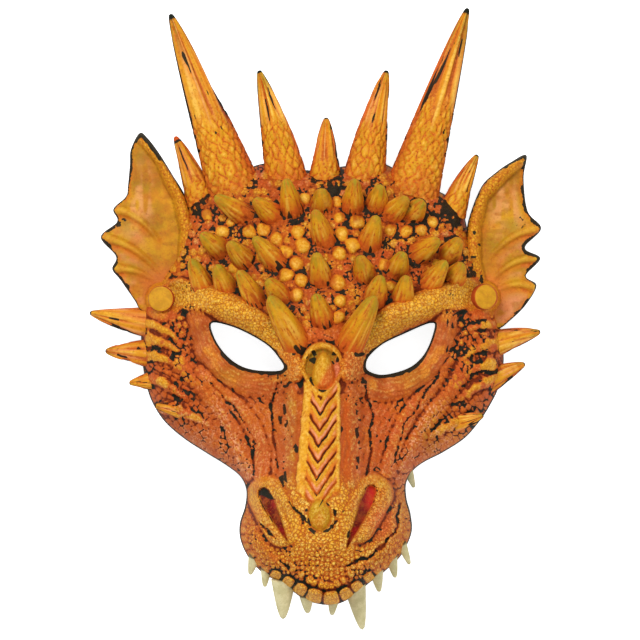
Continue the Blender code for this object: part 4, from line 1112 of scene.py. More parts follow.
def face_top(x, y):
    """Top of the face's sheet, with its paint."""
    top, _, part = shell_heights(x, y)
    step = 0.5
    xs, ys = np.arange(-98, 101, step), np.arange(-134, 103, step)
    gx, gy = np.meshgrid(xs, ys)
    raised, _ = carving(gx.ravel(), gy.ravel())
    raised = raised.reshape(gx.shape)
    u, v = (x - xs[0]) / step, (y - ys[0]) / step
    iu, iv = np.clip(u.astype(int), 0, len(xs) - 2), np.clip(v.astype(int), 0, len(ys) - 2)
    fu, fv = u - iu, v - iv

    def above(sigma):
        """Height over the ground averaged round about."""
        field = raised - blurred(raised, sigma / step)
        low = field[iv, iu] * (1 - fu) + field[iv, iu + 1] * fu
        high = field[iv + 1, iu] * (1 - fu) + field[iv + 1, iu + 1] * fu
        return low * (1 - fv) + high * fv

    # The level follows the relief: low in grooves and hollows, which the paint darkens partly as darker paint
    # and partly as painted shade.
    near, wide = above(1.3), above(4.5)
    contrast = 0.34 - 0.08 * part["forehead"] + 0.22 * part["muzzle"] + 0.25 * part["brow"]
    level = 0.53 + contrast * near + 0.06 * wide
    outer = smooth(np.abs(x), 56, 66) * smooth(y, -46, -34) * (1 - part["brow"]) * (1 - part["forehead"])
    # Lower round the feet of the thorns and horns on the forehead: painted shade where they overhang the
    # face.
    level = level + 0.05 * part["brow"] - 0.09 * outer - 0.16 * roots_near(x, y) * part["forehead"]
    level = np.where(part["nostril"] > 0.3, np.maximum(level, 0.5), level)
    level = np.where(part["socket"] > 0.2, np.maximum(level, 0.50), level)
    gutter = smooth(np.abs(x), 25, 20) * smooth(y, BRIDGE_TOP, BRIDGE_TOP - 5) * smooth(y, -74, -66)
    level = np.maximum(level, 0.45 * gutter * (1 - part["bridge"]))
    level = np.maximum(level, 0.44 * part["muzzle"] * smooth(np.abs(x), 26, 20) * smooth(y, -98, -92))
    for place in BUTTONS.values():
        beside = smooth(np.hypot(x - place[0], y - place[1]), SEAT_RADIUS + 4.5, SEAT_RADIUS + 2.0)
        level = np.maximum(level, 0.54 * beside)
    level = np.clip(level, 0, 1)
    colour = face_paint(x, y, part, level)
    # A dark red fringe round the feet of the thorns and horns: partly paint, partly painted shade under them.
    fringe = roots_near(x, y) * part["forehead"] * smooth(mottle(x, y * 0.4, 1.6, 40), 0.40, 0.60)
    colour = mixed(colour, FRINGE_RED, 0.75 * fringe)
    scaly = 0.42 + 0.45 * part["brow"] + 0.75 * part["muzzle"] * (1 - part["knob"]) + 0.25 * part["forehead"]
    scaly = np.clip(scaly, 0, 1) * (1 - 0.8 * smooth(part["nodule"], 0.2, 0.5)) * (1 - 0.7 * part["bridge"])
    scaly = scaly * (1 - part["nostril"]) * (1 - 0.8 * part["bead"])
    return top, {
        "paint": colour, "level": level, "grime": face_blackness(x, y, part, near, wide), "scaly": scaly,
    }


def face_back(x, y):
    """Hollow back of the face's sheet."""
    return shell_heights(x, y)[1]


def ear_fields(side):
    """The ear's painted top and its back, as two functions of place."""
    outline, root, ribs, roll = EARS[side]
    reach = max(np.hypot(px - root[0], py - root[1]) for px, py in outline)
    edge = closed_curve(outline, 0.8)
    paths = [bent(*rib) for rib in ribs]
    tip = max(outline, key=lambda p: p[1])

    def middle(x, y):
        share = np.hypot(x - root[0], y - root[1]) / reach
        return EAR_ROOT_Z + (EAR_TIP_Z - EAR_ROOT_Z) * share

    def top_of(x, y):
        depth = np.where(inside(x, y, edge), loop_distance(x, y, edge), 0.0)
        rolled = dome(path_distance(x, y, roll), EAR_ROLL * (1 - 0.45 * smooth(y, 84, 100)))
        rib, under = np.zeros(np.shape(x)), np.zeros(np.shape(x))
        for path in paths:
            away, share = path_place(x, y, path)
            rib = np.maximum(rib, (1 - share) ** 0.8 * dome(away, EAR_RIB * (1 - 0.55 * share)))
            # The strip just under each rib, where its painted shade goes.
            away, share = path_place(x, y + 2.4, path)
            under = np.maximum(under, (1 - share) ** 0.5 * dome(away, 2.8))
        webs = np.min([path_distance(x, y, path) for path in paths], axis=0)
        soft = smooth(webs, 1.0, 9.0)
        raised = np.maximum(EAR_ROLL_HEIGHT * rolled, EAR_RIB_HEIGHT * rib ** 0.8 - 0.9 * soft * (1 - rolled))
        bumps, _ = pebbles(x, y, 2.3, 41)
        raised = raised + 0.6 * bumps * smooth(rolled, 0.3, 0.8) * smooth(y, 104, 88)
        rounded = quarter_round(depth, EAR_THICKNESS / 2)
        top = middle(x, y) + EAR_THICKNESS / 2 * rounded + raised * rounded
        patches = mottle(x, y, 11, 42)
        fine = mottle(x, y, 3.2, 43)
        colour = painted(
            EAR_GOLD,
            (EAR_SHADE, 0.80 * smooth(patches, 0.35, 0.70)),
            (EAR_RUST, 0.55 * smooth(mottle(x, y, 6, 46), 0.50, 0.80)),
            (GOLD, 0.55 * smooth(patches, 0.45, 0.15)),
        )
        high = smooth(y, 58, 72) * smooth(np.abs(x), 84, 90) * smooth(y, 106, 96)
        webbed = high * smooth(depth, 2.5, 6.0) * smooth(rolled, 0.25, 0.0)
        colour = mixed(colour, WEB_PEACH, 0.80 * webbed * smooth(mottle(x, y * 0.35, 2.2, 48), 0.25, 0.60))
        # Browner beside the raised roll: painted shade.
        shaded = smooth(path_distance(x, y, roll), 11.0, 5.0) * (1 - smooth(rolled, 0.1, 0.3))
        colour = mixed(colour, WEB_SHADE, 0.75 * shaded * smooth(mottle(x, y * 0.4, 3.0, 49), 0.20, 0.55))
        low_web = soft * smooth(y, 66, 58) * smooth(np.abs(x), 88, 95)
        colour = painted(
            colour,
            (WEB_PINK, 0.85 * low_web * smooth(fine + 0.4 * patches, 0.35, 0.70)),
            # Orange and red on the strip under each rib: painted shade.
            (ORANGE, 0.75 * under * (1 - rib) * smooth(np.abs(x), 84, 92)),
            (RED_ORANGE, 0.50 * under * (1 - rib) * smooth(np.abs(x), 92, 104) * smooth(fine, 0.3, 0.6)),
            (EAR_STREAK, 0.50 * smooth(mottle(x * 0.5, y, 2.2, 70), 0.50, 0.85) * (1 - rolled)),
            (RIB_GOLD, 0.7 * smooth(rib, 0.25, 0.7) * (1 - rolled)),
            (OLIVE, 0.65 * smooth(y, 92, 108) * smooth(fine, 0.25, 0.65)),
            (GREEN, 0.45 * glow(np.abs(x), y, (100, 64), (4.5, 4.5)) * smooth(fine, 0.3, 0.6)),
            (ORANGE, 0.65 * smooth(depth, 3.2, 0.8) * smooth(fine, 0.15, 0.5)),
        )
        foot = np.hypot(x - root[0], y - root[1])
        colour = painted(
            colour,
            (EAR_FOOT_RED, 0.8 * smooth(foot, 17, 7)),
            (GOLD, smooth(rolled, 0.20, 0.60)),
            (ORANGE, 0.70 * smooth(rolled, 0.30, 0.7) * smooth(bumps, 0.65, 0.2) * smooth(y, 100, 86)),
            (BROWN, 0.65 * smooth(np.abs(rolled - 0.10), 0.12, 0.02)),
        )
        # Darker between the roll's bumps, partly darker paint and partly painted shade, and under each rib,
        # painted shade; lighter on the ribs.
        level = 0.60 - 0.24 * smooth(bumps, 0.5, 0.1) * smooth(rolled, 0.2, 0.6)
        level = level + 0.10 * smooth(rib, 0.4, 0.9) - 0.10 * under * (1 - rib)
        ragged = 1.6 * mottle(x, y, 2.6, 47)
        broken = smooth(mottle(x, y, 7.5, 66), 0.34, 0.50)
        outer = np.maximum(smooth(np.abs(x), 92, 98), smooth(y, 92, 102))
        grime = broken * smooth(depth, 0.9 + ragged, 0.4 + ragged) * outer
        grime = np.maximum(grime, smooth(depth, 0.9, 0.5))
        near_tip = smooth(y, 96, 100) * smooth(np.abs(x) - 94, 1.0, -2.0)
        grime = np.maximum(grime, smooth(depth, 2.6, 2.0) * near_tip)
        far = np.hypot(x - tip[0], y - tip[1])
        grime = np.maximum(grime, smooth(far, 3.5, 2.0))
        pits = glow(np.abs(x), y, (103, 66), (4, 4)) * smooth(mottle(x, y, 1.5, 44), 0.50, 0.70)
        specks = smooth(y, 70, 56) * smooth(mottle(x, y, 3.2, 45), 0.70, 0.82)
        grime = np.max([grime, pits, 0.9 * smooth(rolled, 0.2, 0.5) * specks], axis=0)
        level = np.clip(level, 0, 1)
        return top, {"paint": colour, "level": level, "grime": grime, "scaly": 0.10 + 0.6 * rolled}

    def bottom_of(x, y):
        depth = np.where(inside(x, y, edge), loop_distance(x, y, edge), 0.0)
        return middle(x, y) - EAR_THICKNESS / 2 * quarter_round(depth, EAR_THICKNESS / 2)

    return top_of, bottom_of


def spike(root, bend, tip, radius_at, rings, sides, texture):
    """Points, faces and attributes of a round spike, with texture(t, angle, length, radius) on it."""
    root, bend, tip = (np.asarray(p, float) for p in (root, bend, tip))
    t = np.linspace(0, 1, rings)[:, None]
    middle = root * (1 - t) ** 2 + bend * 2 * t * (1 - t) + tip * t**2
    along = 2 * (1 - t) * (bend - root) + 2 * t * (tip - bend)
    along /= np.linalg.norm(along, axis=1, keepdims=True)
    up = np.array((0.0, 0.0, 1.0)) - along * along[:, 2:3]
    weak = np.linalg.norm(up, axis=1) < 0.2
    up[weak] = np.array((0.0, 1.0, 0.0)) - along[weak] * along[weak, 1:2]
    up /= np.linalg.norm(up, axis=1, keepdims=True)
    side = np.cross(along, up)
    length = np.linalg.norm(np.diff(middle, axis=0), axis=1).sum()
    angle = np.arange(sides) * 2 * math.pi / sides
    tt, aa = np.meshgrid(t[:, 0], angle, indexing="ij")
    radius = radius_at(tt)
    height, fields = texture(tt, aa, length, radius)
    full = (radius + height)[..., None]
    outward = np.cos(aa)[..., None] * up[:, None] + np.sin(aa)[..., None] * side[:, None]
    ring = middle[:, None] + full * outward
    points = ring.reshape(-1, 3)
    points = np.vstack([points, middle[:1], tip[None] + along[-1:] * 0.35])
    faces = []
    for i in range(rings - 1):
        for j in range(sides):
            k = (j + 1) % sides
            faces.append((i * sides + j, i * sides + k, (i + 1) * sides + k, (i + 1) * sides + j))
    last = rings * sides
    for j in range(sides):
        k = (j + 1) % sides
        faces.append((last, k, j))
        faces.append((last + 1, (rings - 1) * sides + j, (rings - 1) * sides + k))
    filled = {}
    for key, values in fields.items():
        values = values.reshape(rings * sides, *values.shape[2:])
        filled[key] = np.concatenate([values, values[:1], values[-1:]])
    return points, faces, filled


def merge(parts):
    """One set of points, faces and attributes from several."""
    points, faces, attributes, start = [], [], {}, 0
    for more, its_faces, its_attributes in parts:
        faces += [tuple(v + start for v in face) for face in its_faces]
        points.append(more)
        for key, values in its_attributes.items():
            attributes.setdefault(key, []).append(values)
        start += len(more)
    return np.vstack(points), faces, {key: np.concatenate(values) for key, values in attributes.items()}


def horn_texture(seed, size, scaled, tip_paint, outward=1.0):
    """Lozenge scales that run out into lengthwise grooves. outward is the side of the dark edge."""

    def texture(t, angle, length, radius):
        around = max(6, round(2 * math.pi * size / 5.2))
        u = angle / (2 * math.pi) * around
        edge, shade = lozenges(u, t * length / 8.0, seed)
        scale = np.clip(edge / 0.50, 0, 1)
        scale = scale * (2 - scale)
        wander = mottle(angle * 1.6, t * 5, 1.0, seed + 1)
        lower = np.zeros(t.shape)
        if scaled > 0:
            lower = smooth(t + 0.22 * (wander - 0.5), scaled + 0.08, scaled - 0.10)
        broad = mottle(angle * 2.1 + 40, t * 0.9, 1.0, seed + 2)
        narrow = mottle(angle * 5.5 + 90, t * 1.6, 1.0, seed + 3)
        shallow = 0.6 + 0.4 * smooth(np.abs(narrow - 0.5), 0.0, 0.12)
        groove = smooth(np.abs(broad - 0.5), 0.0, 0.16) * shallow
        streak = mottle(angle * 6.5 + 20, t * 1.5, 1.0, seed + 4)
        blotch = mottle(angle * 2.5 + 70, t * 7.0, 1.0, seed + 5)
        depth = 0.10 * size
        fade = smooth(radius, 0.8, 3.0)
        height = depth * (scale - 1) * lower + 1.15 * depth * (groove - 1) * (1 - lower) * fade
        height = height - 0.25 * smooth(streak, 0.45, 0.25) * (1 - lower) * fade
        up, across = np.cos(angle), np.sin(angle) * outward

        colour = painted(
            GOLD,
            (OCHRE, 0.6 * smooth(shade, 0.55, 0.85) * lower),
            (PALE_GOLD, 0.70 * smooth(streak, 0.52, 0.80) * (1 - lower)),
            (PALE_GOLD, 0.55 * smooth(edge, 0.60, 0.95) * smooth(shade, 0.5, 0.2) * lower),
            (FLAKE_RED, 0.95 * smooth(scale, 0.72, 0.20) * lower),
            (GROOVE_RED, 0.80 * (1 - groove) * (1 - lower)),
            (PINK, 0.45 * smooth(narrow, 0.60, 0.80) * smooth(broad, 0.3, 0.6) * (1 - lower)),
            (ORANGE, 0.60 * smooth(streak, 0.40, 0.20)),
            # Redder on both sides, away from the top: partly airbrushed paint, partly painted shade.
            (RED_ORANGE, 0.85 * smooth(-across + 0.25 * (blotch - 0.5), 0.66, 0.95)),
            (RED_ORANGE, 0.60 * smooth(across, 0.74, 0.95)),
            (RED_ORANGE, 0.45 * smooth(t + 0.1 * (blotch - 0.5), 0.16, 0.04)),
            (OLIVE, 0.70 * smooth(t, 0.72, 0.92) * smooth(streak + 0.3 * blotch, 0.50, 0.80)),
            (ORANGE, 0.60 * smooth(np.abs(t - 0.86), 0.06, 0.02) * smooth(streak, 0.55, 0.35)),
            (tip_paint, smooth(t, 0.965, 0.985) if tip_paint == BLACK else smooth(t, 0.90, 0.94)),
        )
        # Darker in the grooves, partly darker paint and partly painted shade; lighter on the upper side's
        # streaks and darker on the sides: painted highlight and shade.
        level = 0.58 - 0.20 * (1 - scale) * lower - 0.22 * (1 - groove) * (1 - lower)
        level = level + 0.14 * smooth(up, 0.3, 0.9) * smooth(streak, 0.4, 0.7) - 0.30 * smooth(up, 0.30, 0.0)
        grime = smooth(across + 0.10 * (blotch - 0.5), 0.90, 0.985) * smooth(up, 0.5, 0.2)
        grime = np.maximum(grime, smooth(up + 0.2 * (blotch - 0.5), 0.10, -0.15))
        marks = spots(angle / (2 * math.pi) * around * 2.2, t * length / 5.5, seed + 6, 0.05)
        grime = np.maximum(grime, marks * smooth(scale * lower + groove * (1 - lower), 1.0, 0.7))
        cracks = smooth(1 - groove, 0.55, 0.8) * (1 - lower) * smooth(t, 0.92, 0.8)
        grime = np.maximum(grime, cracks * smooth(blotch, 0.55, 0.72)) * smooth(t, 0.10, 0.42)
        band = smooth(np.abs(t - 0.93), 0.025, 0.012) if tip_paint == RED_ORANGE else smooth(t, 0.965, 0.985)
        level, grime = np.clip(level, 0, 1), np.maximum(grime, band)
        return height, {"paint": colour, "level": level, "grime": grime, "scaly": 0 * t}

    return texture


def thorn_texture(seed):
    """Lengthwise grooves, with red at the foot, green at the tip and black underneath."""
    def texture(t, angle, length, radius):
        line = mottle(angle * 4.5 + 3 * seed, t * 1.2, 1.0, seed + 60) * 0.6
        line += mottle(angle * 9.0 + 50, t * 2.5, 1.0, seed + 61) * 0.4
        groove = smooth(np.abs(line - 0.5), 0.0, 0.08)
        height = 0.42 * (groove - 1) * smooth(t, 0.97, 0.75)
        streak = mottle(angle * 6 + 9, t * 2, 1.0, seed + 62)
        blotch = mottle(angle * 2 + 5, t * 4, 1.0, seed + 63)
        colour = painted(
            THORN_GOLD,
            (PALE_GOLD, 0.40 * smooth(streak, 0.55, 0.85) * smooth(t, 0.95, 0.45)),
            (OLIVE, 0.60 * smooth(t + 0.4 * (blotch - 0.5), 0.60, 0.90)),
            (GREEN, 0.45 * smooth(t + 0.5 * (streak - 0.5), 0.78, 1.0)),
            (ORANGE, 0.60 * smooth(t + 0.35 * (streak - 0.5), 0.52, 0.32)),
            # Orange on the lower sides: partly paint, partly painted shade.
            (ORANGE, 0.55 * smooth(np.cos(angle), 0.40, 0.0)),
            (ORANGE, 0.60 * (1 - groove)),
            (RED_ORANGE, 0.80 * smooth(t + 0.30 * (streak - 0.5), 0.34, 0.20)),
        )
        # Darker in the grooves and at the foot, partly darker paint and partly painted shade, and darker
        # underneath: painted shade.
        level = 0.60 - 0.20 * (1 - groove) - 0.14 * smooth(t + 0.2 * (streak - 0.5), 0.30, 0.14)
        level = level - 0.26 * smooth(np.cos(angle), 0.05, -0.4)
        grime = 0.8 * smooth(t + 0.35 * (blotch - 0.5), 0.26, 0.12) * smooth(streak, 0.50, 0.75)
        grime = np.maximum(grime, smooth(np.cos(angle) + 0.3 * (blotch - 0.5), 0.0, -0.35))
        return height, {"paint": colour, "level": np.clip(level, 0, 1), "grime": grime, "scaly": 0 * t}

    return texture


def thorn_shape(root, tip):
    """Start, bend and end of a thorn that leans over the face."""
    ground = face_height(np.array([float(root[0])]), np.array([float(root[1])]))[0]
    end = ground + THORN_RISE
    start = (*root, ground - THORN_SINK)
    bend = ((root[0] + tip[0]) / 2, (root[1] + tip[1]) / 2, end - THORN_SAG)
    return start, bend, (*tip, end)


def tapered(radius, tip_radius, power):
    """Radius along a spike, from its foot to its tip."""
    def radius_at(t):
        return tip_radius + (radius - tip_radius) * (1 - t) ** power

    return radius_at


def rounded_taper(radius, tip_radius, power, nose):
    """Like the taper, with the last stretch closed by a round nose."""
    plain = tapered(radius, tip_radius, power)

    def radius_at(t):
        return plain(t) * np.sqrt(np.clip(1 - np.clip((t - 1 + nose) / nose, 0, 1) ** 2, 0.0004, 1))

    return radius_at


def post(place):
    """Solid foam behind a strap button."""
    top = BUTTON_TOP_Z - BUTTON_THICKNESS - 1.2
    wide, slim = POST_RADIUS - 0.5, BUTTON_RADIUS - 0.4
    profile = (
        (0.01, top), (slim - 0.5, top), (slim, top - 0.5), (wide, 20),
        (wide, 13), (wide, 11), (wide, 1), (0.01, 0),
    )
    sides = 40
    turns = [2 * math.pi * k / sides for k in range(sides)]
    points = [
        (place[0] + r * math.cos(turn), place[1] + r * math.sin(turn), z)
        for r, z in profile
        for turn in turns
    ]
    faces = []
    for i in range(len(profile) - 1):
        for k in range(sides):
            n = (k + 1) % sides
            faces.append((i * sides + k, (i + 1) * sides + k, (i + 1) * sides + n, i * sides + n))
    points = np.array(points)
    paint = mixed(ORANGE, GOLD, mottle(points[:, 0], points[:, 1], 3, 68))
    even = np.ones(len(points))
    black = smooth(points[:, 2], 12.5, 11.5)
    return points, faces, {"paint": paint, "level": 0.5 * even, "grime": black, "scaly": 0.3 * even}


# Materials.


def nodes_of(material):
    """The material's node tree and its main shader."""
    material.use_nodes = True
    tree = material.node_tree
    return tree, tree.nodes["Principled BSDF"]


def node(tree, kind, **settings):
    """A new node with these settings, and with these values on its inputs."""
    made = tree.nodes.new(kind)
    for key, value in settings.items():
        if key == "inputs":
            for name, number in value.items():
                made.inputs[name].default_value = number
        else:
            setattr(made, key, value)
    return made


def noise(tree, where, scale, detail=4.0, roughness=0.6):
    """The value of a noise texture at each place."""
    made = node(tree, "ShaderNodeTexNoise", inputs={"Scale": scale, "Detail": detail, "Roughness": roughness})
    tree.links.new(where, made.inputs["Vector"])
    return made.outputs["Fac"]


def ranged(tree, value, low, high, start=0.0, end=1.0):
    """The value carried softly from one range to another."""
    made = node(tree, "ShaderNodeMapRange", interpolation_type="SMOOTHSTEP")
    tree.links.new(value, made.inputs["Value"])
    for name, number in (("From Min", low), ("From Max", high), ("To Min", start), ("To Max", end)):
        made.inputs[name].default_value = number
    return made.outputs["Result"]


def sum_of(tree, kind, first, second):
    """Two values joined by this kind of arithmetic."""
    made = node(tree, "ShaderNodeMath", operation=kind)
    for socket, value in zip(made.inputs, (first, second)):
        if isinstance(value, (int, float)):
            socket.default_value = value
        else:
            tree.links.new(value, socket)
    return made.outputs["Value"]


def blend(tree, factor, first, second, kind="MIX"):
    """The second colour laid over the first by the factor."""
    made = node(tree, "ShaderNodeMix", data_type="RGBA", blend_type=kind)
    for socket, value in ((made.inputs[0], factor), (made.inputs[6], first), (made.inputs[7], second)):
        if isinstance(value, (int, float)):
            socket.default_value = value
        elif isinstance(value, tuple):
            socket.default_value = (*value, 1.0)
        else:
            tree.links.new(value, socket)
    return made.outputs[2]


def bumped(tree, shader, heights):
    """Chains a bump for each (height, strength, distance in mm)."""
    normal = None
    for height, strength, distance in heights:
        made = node(tree, "ShaderNodeBump", inputs={"Strength": strength, "Distance": distance * MM})
        tree.links.new(height, made.inputs["Height"])
        if normal:
            tree.links.new(normal, made.inputs["Normal"])
        normal = made.outputs["Normal"]
    tree.links.new(normal, shader.inputs["Normal"])


def painted_foam(name, drybrush=0.8, grain=0.5):
    """Paint over moulded foam. paint is its colour; level is how high the ground stands over its
    surroundings: low level darkens, partly as darker paint in the grooves and partly as painted shade, and
    high level takes dry-brushed paint; the black attribute is the black first coat showing, which round the
    thorns' feet also stands for painted shade; and scaly is how strongly the skin is pebbled."""
    material = bpy.data.materials.new(name)
    tree, shader = nodes_of(material)
    where = node(tree, "ShaderNodeTexCoord").outputs["Object"]
    paint = node(tree, "ShaderNodeAttribute", attribute_name="paint").outputs["Color"]
    keys = ("level", "grime", "scaly")
    level, grime, scaly = (node(tree, "ShaderNodeAttribute", attribute_name=k).outputs["Fac"] for k in keys)
    cloudy = noise(tree, where, 170, 5)
    gritty = noise(tree, where, 620, 6, 0.7)
    fine = noise(tree, where, 1700, 3)
    pebble = node(tree, "ShaderNodeTexVoronoi", feature="DISTANCE_TO_EDGE", inputs={"Scale": 560.0})
    tree.links.new(where, pebble.inputs["Vector"])
    skin = ranged(tree, pebble.outputs["Distance"], 0.0, 0.22)
    crack = sum_of(tree, "MULTIPLY", sum_of(tree, "SUBTRACT", 1.0, skin), scaly)

    colour = blend(tree, ranged(tree, cloudy, 0.42, 0.70, 0.0, 0.38), paint, (0.60, 0.13, 0.014))
    colour = blend(tree, ranged(tree, gritty, 0.52, 0.66, 0.0, 0.60), colour, (0.16, 0.085, 0.006), "SCREEN")
    colour = blend(tree, ranged(tree, gritty, 0.47, 0.34, 0.0, 0.45), colour, (0.34, 0.075, 0.010))
    # Lighter on the pebbles' tops: dry-brushed paint and painted highlight.
    tops = sum_of(tree, "MULTIPLY", ranged(tree, pebble.outputs["Distance"], 0.16, 0.36), scaly)
    colour = blend(tree, sum_of(tree, "MULTIPLY", tops, 0.75), colour, (0.17, 0.11, 0.02), "SCREEN")
    # Darker in the cracks between the pebbles: partly darker paint, partly painted shade.
    colour = blend(tree, sum_of(tree, "MULTIPLY", crack, 0.85), colour, (0.38, 0.070, 0.010))
    high = sum_of(tree, "MULTIPLY", ranged(tree, level, 0.58, 0.80), ranged(tree, gritty, 0.46, 0.60))
    colour = blend(tree, sum_of(tree, "MULTIPLY", high, drybrush), colour, (0.34, 0.24, 0.06), "SCREEN")
    # Darker where the level is low: partly darker paint in the grooves, partly painted shade.
    wobble = sum_of(tree, "MULTIPLY", sum_of(tree, "SUBTRACT", gritty, 0.5), 0.40)
    steered = sum_of(tree, "ADD", level, wobble)
    colour = blend(tree, ranged(tree, steered, 0.50, 0.40, 0.0, 0.70), colour, (0.44, 0.080, 0.010))
    colour = blend(tree, ranged(tree, steered, 0.38, 0.22, 0.0, 0.88), colour, (0.115, 0.014, 0.005))
    # Black where the black first coat shows; round the thorns' feet it is partly painted shade.
    rough = sum_of(tree, "ADD", sum_of(tree, "MULTIPLY", wobble, 1.4), grime)
    colour = blend(tree, ranged(tree, rough, 0.42, 0.60, 0.0, 0.96), colour, BLACK)
    tree.links.new(colour, shader.inputs["Base Color"])
    tree.links.new(ranged(tree, gritty, 0.3, 0.7, 0.36, 0.58), shader.inputs["Roughness"])
    shader.inputs["Specular IOR Level"].default_value = 0.07
    lumps = sum_of(tree, "MULTIPLY", skin, scaly)
    heights = (cloudy, 0.30, 0.7), (lumps, 0.55, 0.32), (gritty, grain, 0.40), (fine, 0.30, 0.10)
    bumped(tree, shader, heights)
    return material


def raw_foam():
    """Unpainted dark foam, as on the back and on the cut edges: open pores, very matt."""
    material = bpy.data.materials.new("raw_foam")
    tree, shader = nodes_of(material)
    where = node(tree, "ShaderNodeTexCoord").outputs["Object"]
    pores = node(tree, "ShaderNodeTexVoronoi", inputs={"Scale": 900.0})
    tree.links.new(where, pores.inputs["Vector"])
    cloudy = noise(tree, where, 90, 4)
    colour = blend(tree, ranged(tree, cloudy, 0.3, 0.7), (0.012, 0.011, 0.010), (0.028, 0.025, 0.021))
    colour = blend(tree, ranged(tree, pores.outputs["Distance"], 0.28, 0.05), colour, (0.004, 0.004, 0.004))
    tree.links.new(colour, shader.inputs["Base Color"])
    tree.links.new(ranged(tree, cloudy, 0.3, 0.7, 0.82, 0.95), shader.inputs["Roughness"])
    bumped(tree, shader, ((pores.outputs["Distance"], 0.6, 0.35), (cloudy, 0.3, 0.8)))
    return material


def ivory():
    """Matt ivory paint with faint lengthwise streaks and painted shade at the gum line, where the tooth goes
    in under the lip.
    """
    material = bpy.data.materials.new("ivory_paint")
    tree, shader = nodes_of(material)
    where = node(tree, "ShaderNodeTexCoord").outputs["Object"]
    level = node(tree, "ShaderNodeAttribute", attribute_name="level").outputs["Fac"]
    cloudy = noise(tree, where, 220, 4)
    fine = noise(tree, where, 1500, 4)
    colour = blend(tree, ranged(tree, cloudy, 0.35, 0.65), (0.56, 0.50, 0.26), (0.68, 0.61, 0.35))
    colour = blend(tree, ranged(tree, fine, 0.52, 0.70, 0.0, 0.35), colour, (0.36, 0.30, 0.13))
    # Painted shade at the gum line, where the level is low.
    colour = blend(tree, ranged(tree, level, 0.5, 0.1, 0.0, 0.85), colour, (0.10, 0.055, 0.02))
    tree.links.new(colour, shader.inputs["Base Color"])
    tree.links.new(ranged(tree, fine, 0.3, 0.7, 0.40, 0.58), shader.inputs["Roughness"])
    shader.inputs["Specular IOR Level"].default_value = 0.12
    bumped(tree, shader, ((cloudy, 0.25, 0.6), (fine, 0.3, 0.12)))
    return material


def button_paint():
    """Smooth ochre paint with painted shade: darker and redder where the surface turns from facing up,
    towards the rim of the disc.
    """
    material = bpy.data.materials.new("button_paint")
    tree, shader = nodes_of(material)
    where = node(tree, "ShaderNodeTexCoord").outputs["Object"]
    cloudy = noise(tree, where, 240, 5)
    gritty = noise(tree, where, 900, 5)
    faces = node(tree, "ShaderNodeNewGeometry").outputs["Normal"]
    parts = node(tree, "ShaderNodeSeparateXYZ")
    tree.links.new(faces, parts.inputs["Vector"])
    colour = blend(tree, ranged(tree, cloudy, 0.35, 0.65), (0.52, 0.235, 0.012), (0.66, 0.32, 0.016))
    colour = blend(tree, ranged(tree, gritty, 0.52, 0.70, 0.0, 0.5), colour, (0.52, 0.14, 0.02))
    # Painted shade: darker and redder as the surface turns away from facing up.
    colour = blend(tree, ranged(tree, parts.outputs["Z"], 0.90, 0.70), colour, (0.45, 0.075, 0.015))
    colour = blend(tree, ranged(tree, parts.outputs["Z"], 0.45, 0.15), colour, (0.32, 0.055, 0.012))
    tree.links.new(colour, shader.inputs["Base Color"])
    tree.links.new(ranged(tree, gritty, 0.3, 0.7, 0.40, 0.58), shader.inputs["Roughness"])
    shader.inputs["Specular IOR Level"].default_value = 0.12
    bumped(tree, shader, ((cloudy, 0.25, 0.6), (gritty, 0.25, 0.15)))
    return material


def make_camera():
    """A camera straight above the mask, as the photo looks at it."""
    data = bpy.data.cameras.new("camera")
    data.sensor_width = 36.0
    data.lens = CAMERA_LENS
    data.clip_start, data.clip_end = 0.1, 20.0
    camera = bpy.data.objects.new("camera", data)
    camera.location = (SHIFT[0] * MM, (CAMERA_Y + SHIFT[1]) * MM, CAMERA_HEIGHT)
    bpy.context.scene.collection.objects.link(camera)
    bpy.context.scene.camera = camera


def make_light(name, place, size, power):
    """A round soft light that faces the mask."""
    data = bpy.data.lights.new(name, "AREA")
    data.shape = "DISK"
    data.size = size
    data.energy = power
    light = bpy.data.objects.new(name, data)
    light.location = place
    light.rotation_euler = (-Vector(place)).to_track_quat("-Z", "Y").to_euler()
    bpy.context.scene.collection.objects.link(light)


def make_studio():
    """Pale floor, plain world and three soft lights."""
    bpy.ops.mesh.primitive_plane_add(size=6.0, location=(0, 0, -0.0005))
    floor = bpy.context.object
    floor.name = "floor"
    material = bpy.data.materials.new("floor_paper")
    tree, shader = nodes_of(material)
    where = node(tree, "ShaderNodeTexCoord").outputs["Object"]
    cloudy = noise(tree, where, 3, 3)
    tree.links.new(blend(tree, cloudy, (0.90, 0.90, 0.90), (0.93, 0.93, 0.93)), shader.inputs["Base Color"])
    shader.inputs["Roughness"].default_value = 0.9
    shader.inputs["Emission Color"].default_value = (1.0, 1.0, 1.0, 1.0)
    shader.inputs["Emission Strength"].default_value = 0.85
    floor.data.materials.append(material)
    floor.visible_glossy = False
    world = bpy.data.worlds.new("studio")
    bpy.context.scene.world = world
    world.use_nodes = True
    back = world.node_tree.nodes["Background"]
    back.inputs["Color"].default_value = (1.0, 1.0, 1.0, 1.0)
    back.inputs["Strength"].default_value = 0.36
    make_light("key", (-0.55, 1.0, 1.8), 0.7, 26.0)
    make_light("fill", (0.9, -0.7, 1.6), 1.2, 7.0)
    make_light("top", (0.0, 0.1, 2.6), 1.4, 13.0)
    bpy.context.scene.view_settings.view_transform = "Standard"


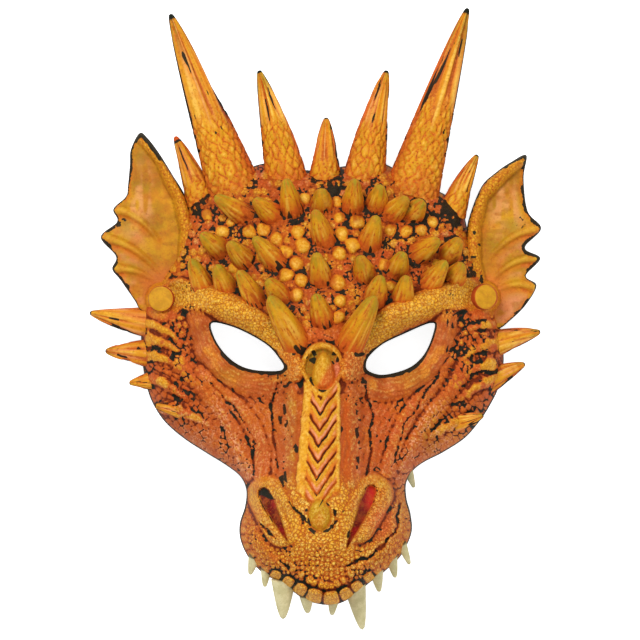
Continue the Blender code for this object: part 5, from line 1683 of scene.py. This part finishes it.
def main():
    """Builds every piece of the mask and the studio round it."""
    foam = painted_foam("painted_foam")
    horn_foam = painted_foam("painted_horn", drybrush=0.60, grain=0.35)
    ear_foam = painted_foam("painted_ear", drybrush=0.25, grain=0.30)
    raw = raw_foam()
    tooth_paint = ivory()
    disc_paint = button_paint()

    sheet("face", [HEAD_LOOP, *EYE_LOOPS], face_top, face_back, [foam, raw], CELL, BACK_CELL)
    for side, (outline, *_) in EARS.items():
        top_of, bottom_of = ear_fields(side)
        sheet(side + "_ear", [closed_curve(outline, 0.8)], top_of, bottom_of, [ear_foam, raw], 0.8, 2.0)

    for number, (name, (root, bend, tip, radius)) in enumerate(HORNS.items()):
        tall = radius > 10
        rings = 150 if tall else 80
        tip_paint = RED_ORANGE if name == "left_small_horn" else BLACK
        scaled = 0.50 if tall else 0.36 if radius > 7.7 and root[1] > 60 else 0.0
        texture = horn_texture(100 + 7 * number, radius, scaled, tip_paint, math.copysign(1, root[0]))
        points, faces, attributes = spike(
            root, bend, tip, tapered(radius, TIP_RADIUS, HORN_TAPER), rings, 96 if tall else 56, texture)
        build(name, points, faces, attributes, [horn_foam])
    blunt = []
    for number, (root, bend, tip, radius) in enumerate(FROWNS.values()):
        shape = rounded_taper(radius, TIP_RADIUS, FROWN_TAPER, 0.12)
        blunt.append(spike(root, bend, tip, shape, 70, 64, thorn_texture(300 + 7 * number)))
    build("frown_spikes", *merge(blunt), [horn_foam])
    shapes = []
    for number, (root, tip) in enumerate(THORNS):
        start, bend, end = thorn_shape(root, tip)
        shape = rounded_taper(THORN_RADIUS, THORN_TIP_RADIUS, THORN_TAPER, 0.10)
        shapes.append(spike(start, bend, end, shape, 36, 40, thorn_texture(400 + 5 * number)))
    build("thorns", *merge(shapes), [horn_foam])
    build("button_posts", *merge([post(place) for place in BUTTONS.values()]), [foam])

    for name, (edge, tip, radius, height) in TEETH.items():
        edge, tip = np.array((*edge, height)), np.array((*tip, height - TOOTH_FALL))
        along = (tip - edge) / np.linalg.norm(tip - edge)
        root = edge - along * TOOTH_ROOT
        share = TOOTH_ROOT / np.linalg.norm(tip - root)

        def texture(t, angle, length, size, share=share, seed=len(name)):
            line = mottle(angle * 3.5, t * 1.5, 1.0, seed + 80)
            # The level falls towards the root, for the painted shade where the tooth goes in under the lip.
            level = smooth(t, share - 0.38, share - 0.14)
            return -0.12 * smooth(np.abs(line - 0.5), 0.10, 0.0), {"level": level}

        shape = rounded_taper(radius, TOOTH_TIP, TOOTH_TAPER, 0.05)
        points, faces, attributes = spike(root, (root + tip) / 2, tip, shape, 40, 40, texture)
        build(name + "_look", points, faces, attributes, [tooth_paint], None, name, "ivory")

    for side in BUTTONS:
        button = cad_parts[side + "_button"]
        button.data.materials.clear()
        button.data.materials.append(disc_paint)

    make_camera()
    make_studio()


main()
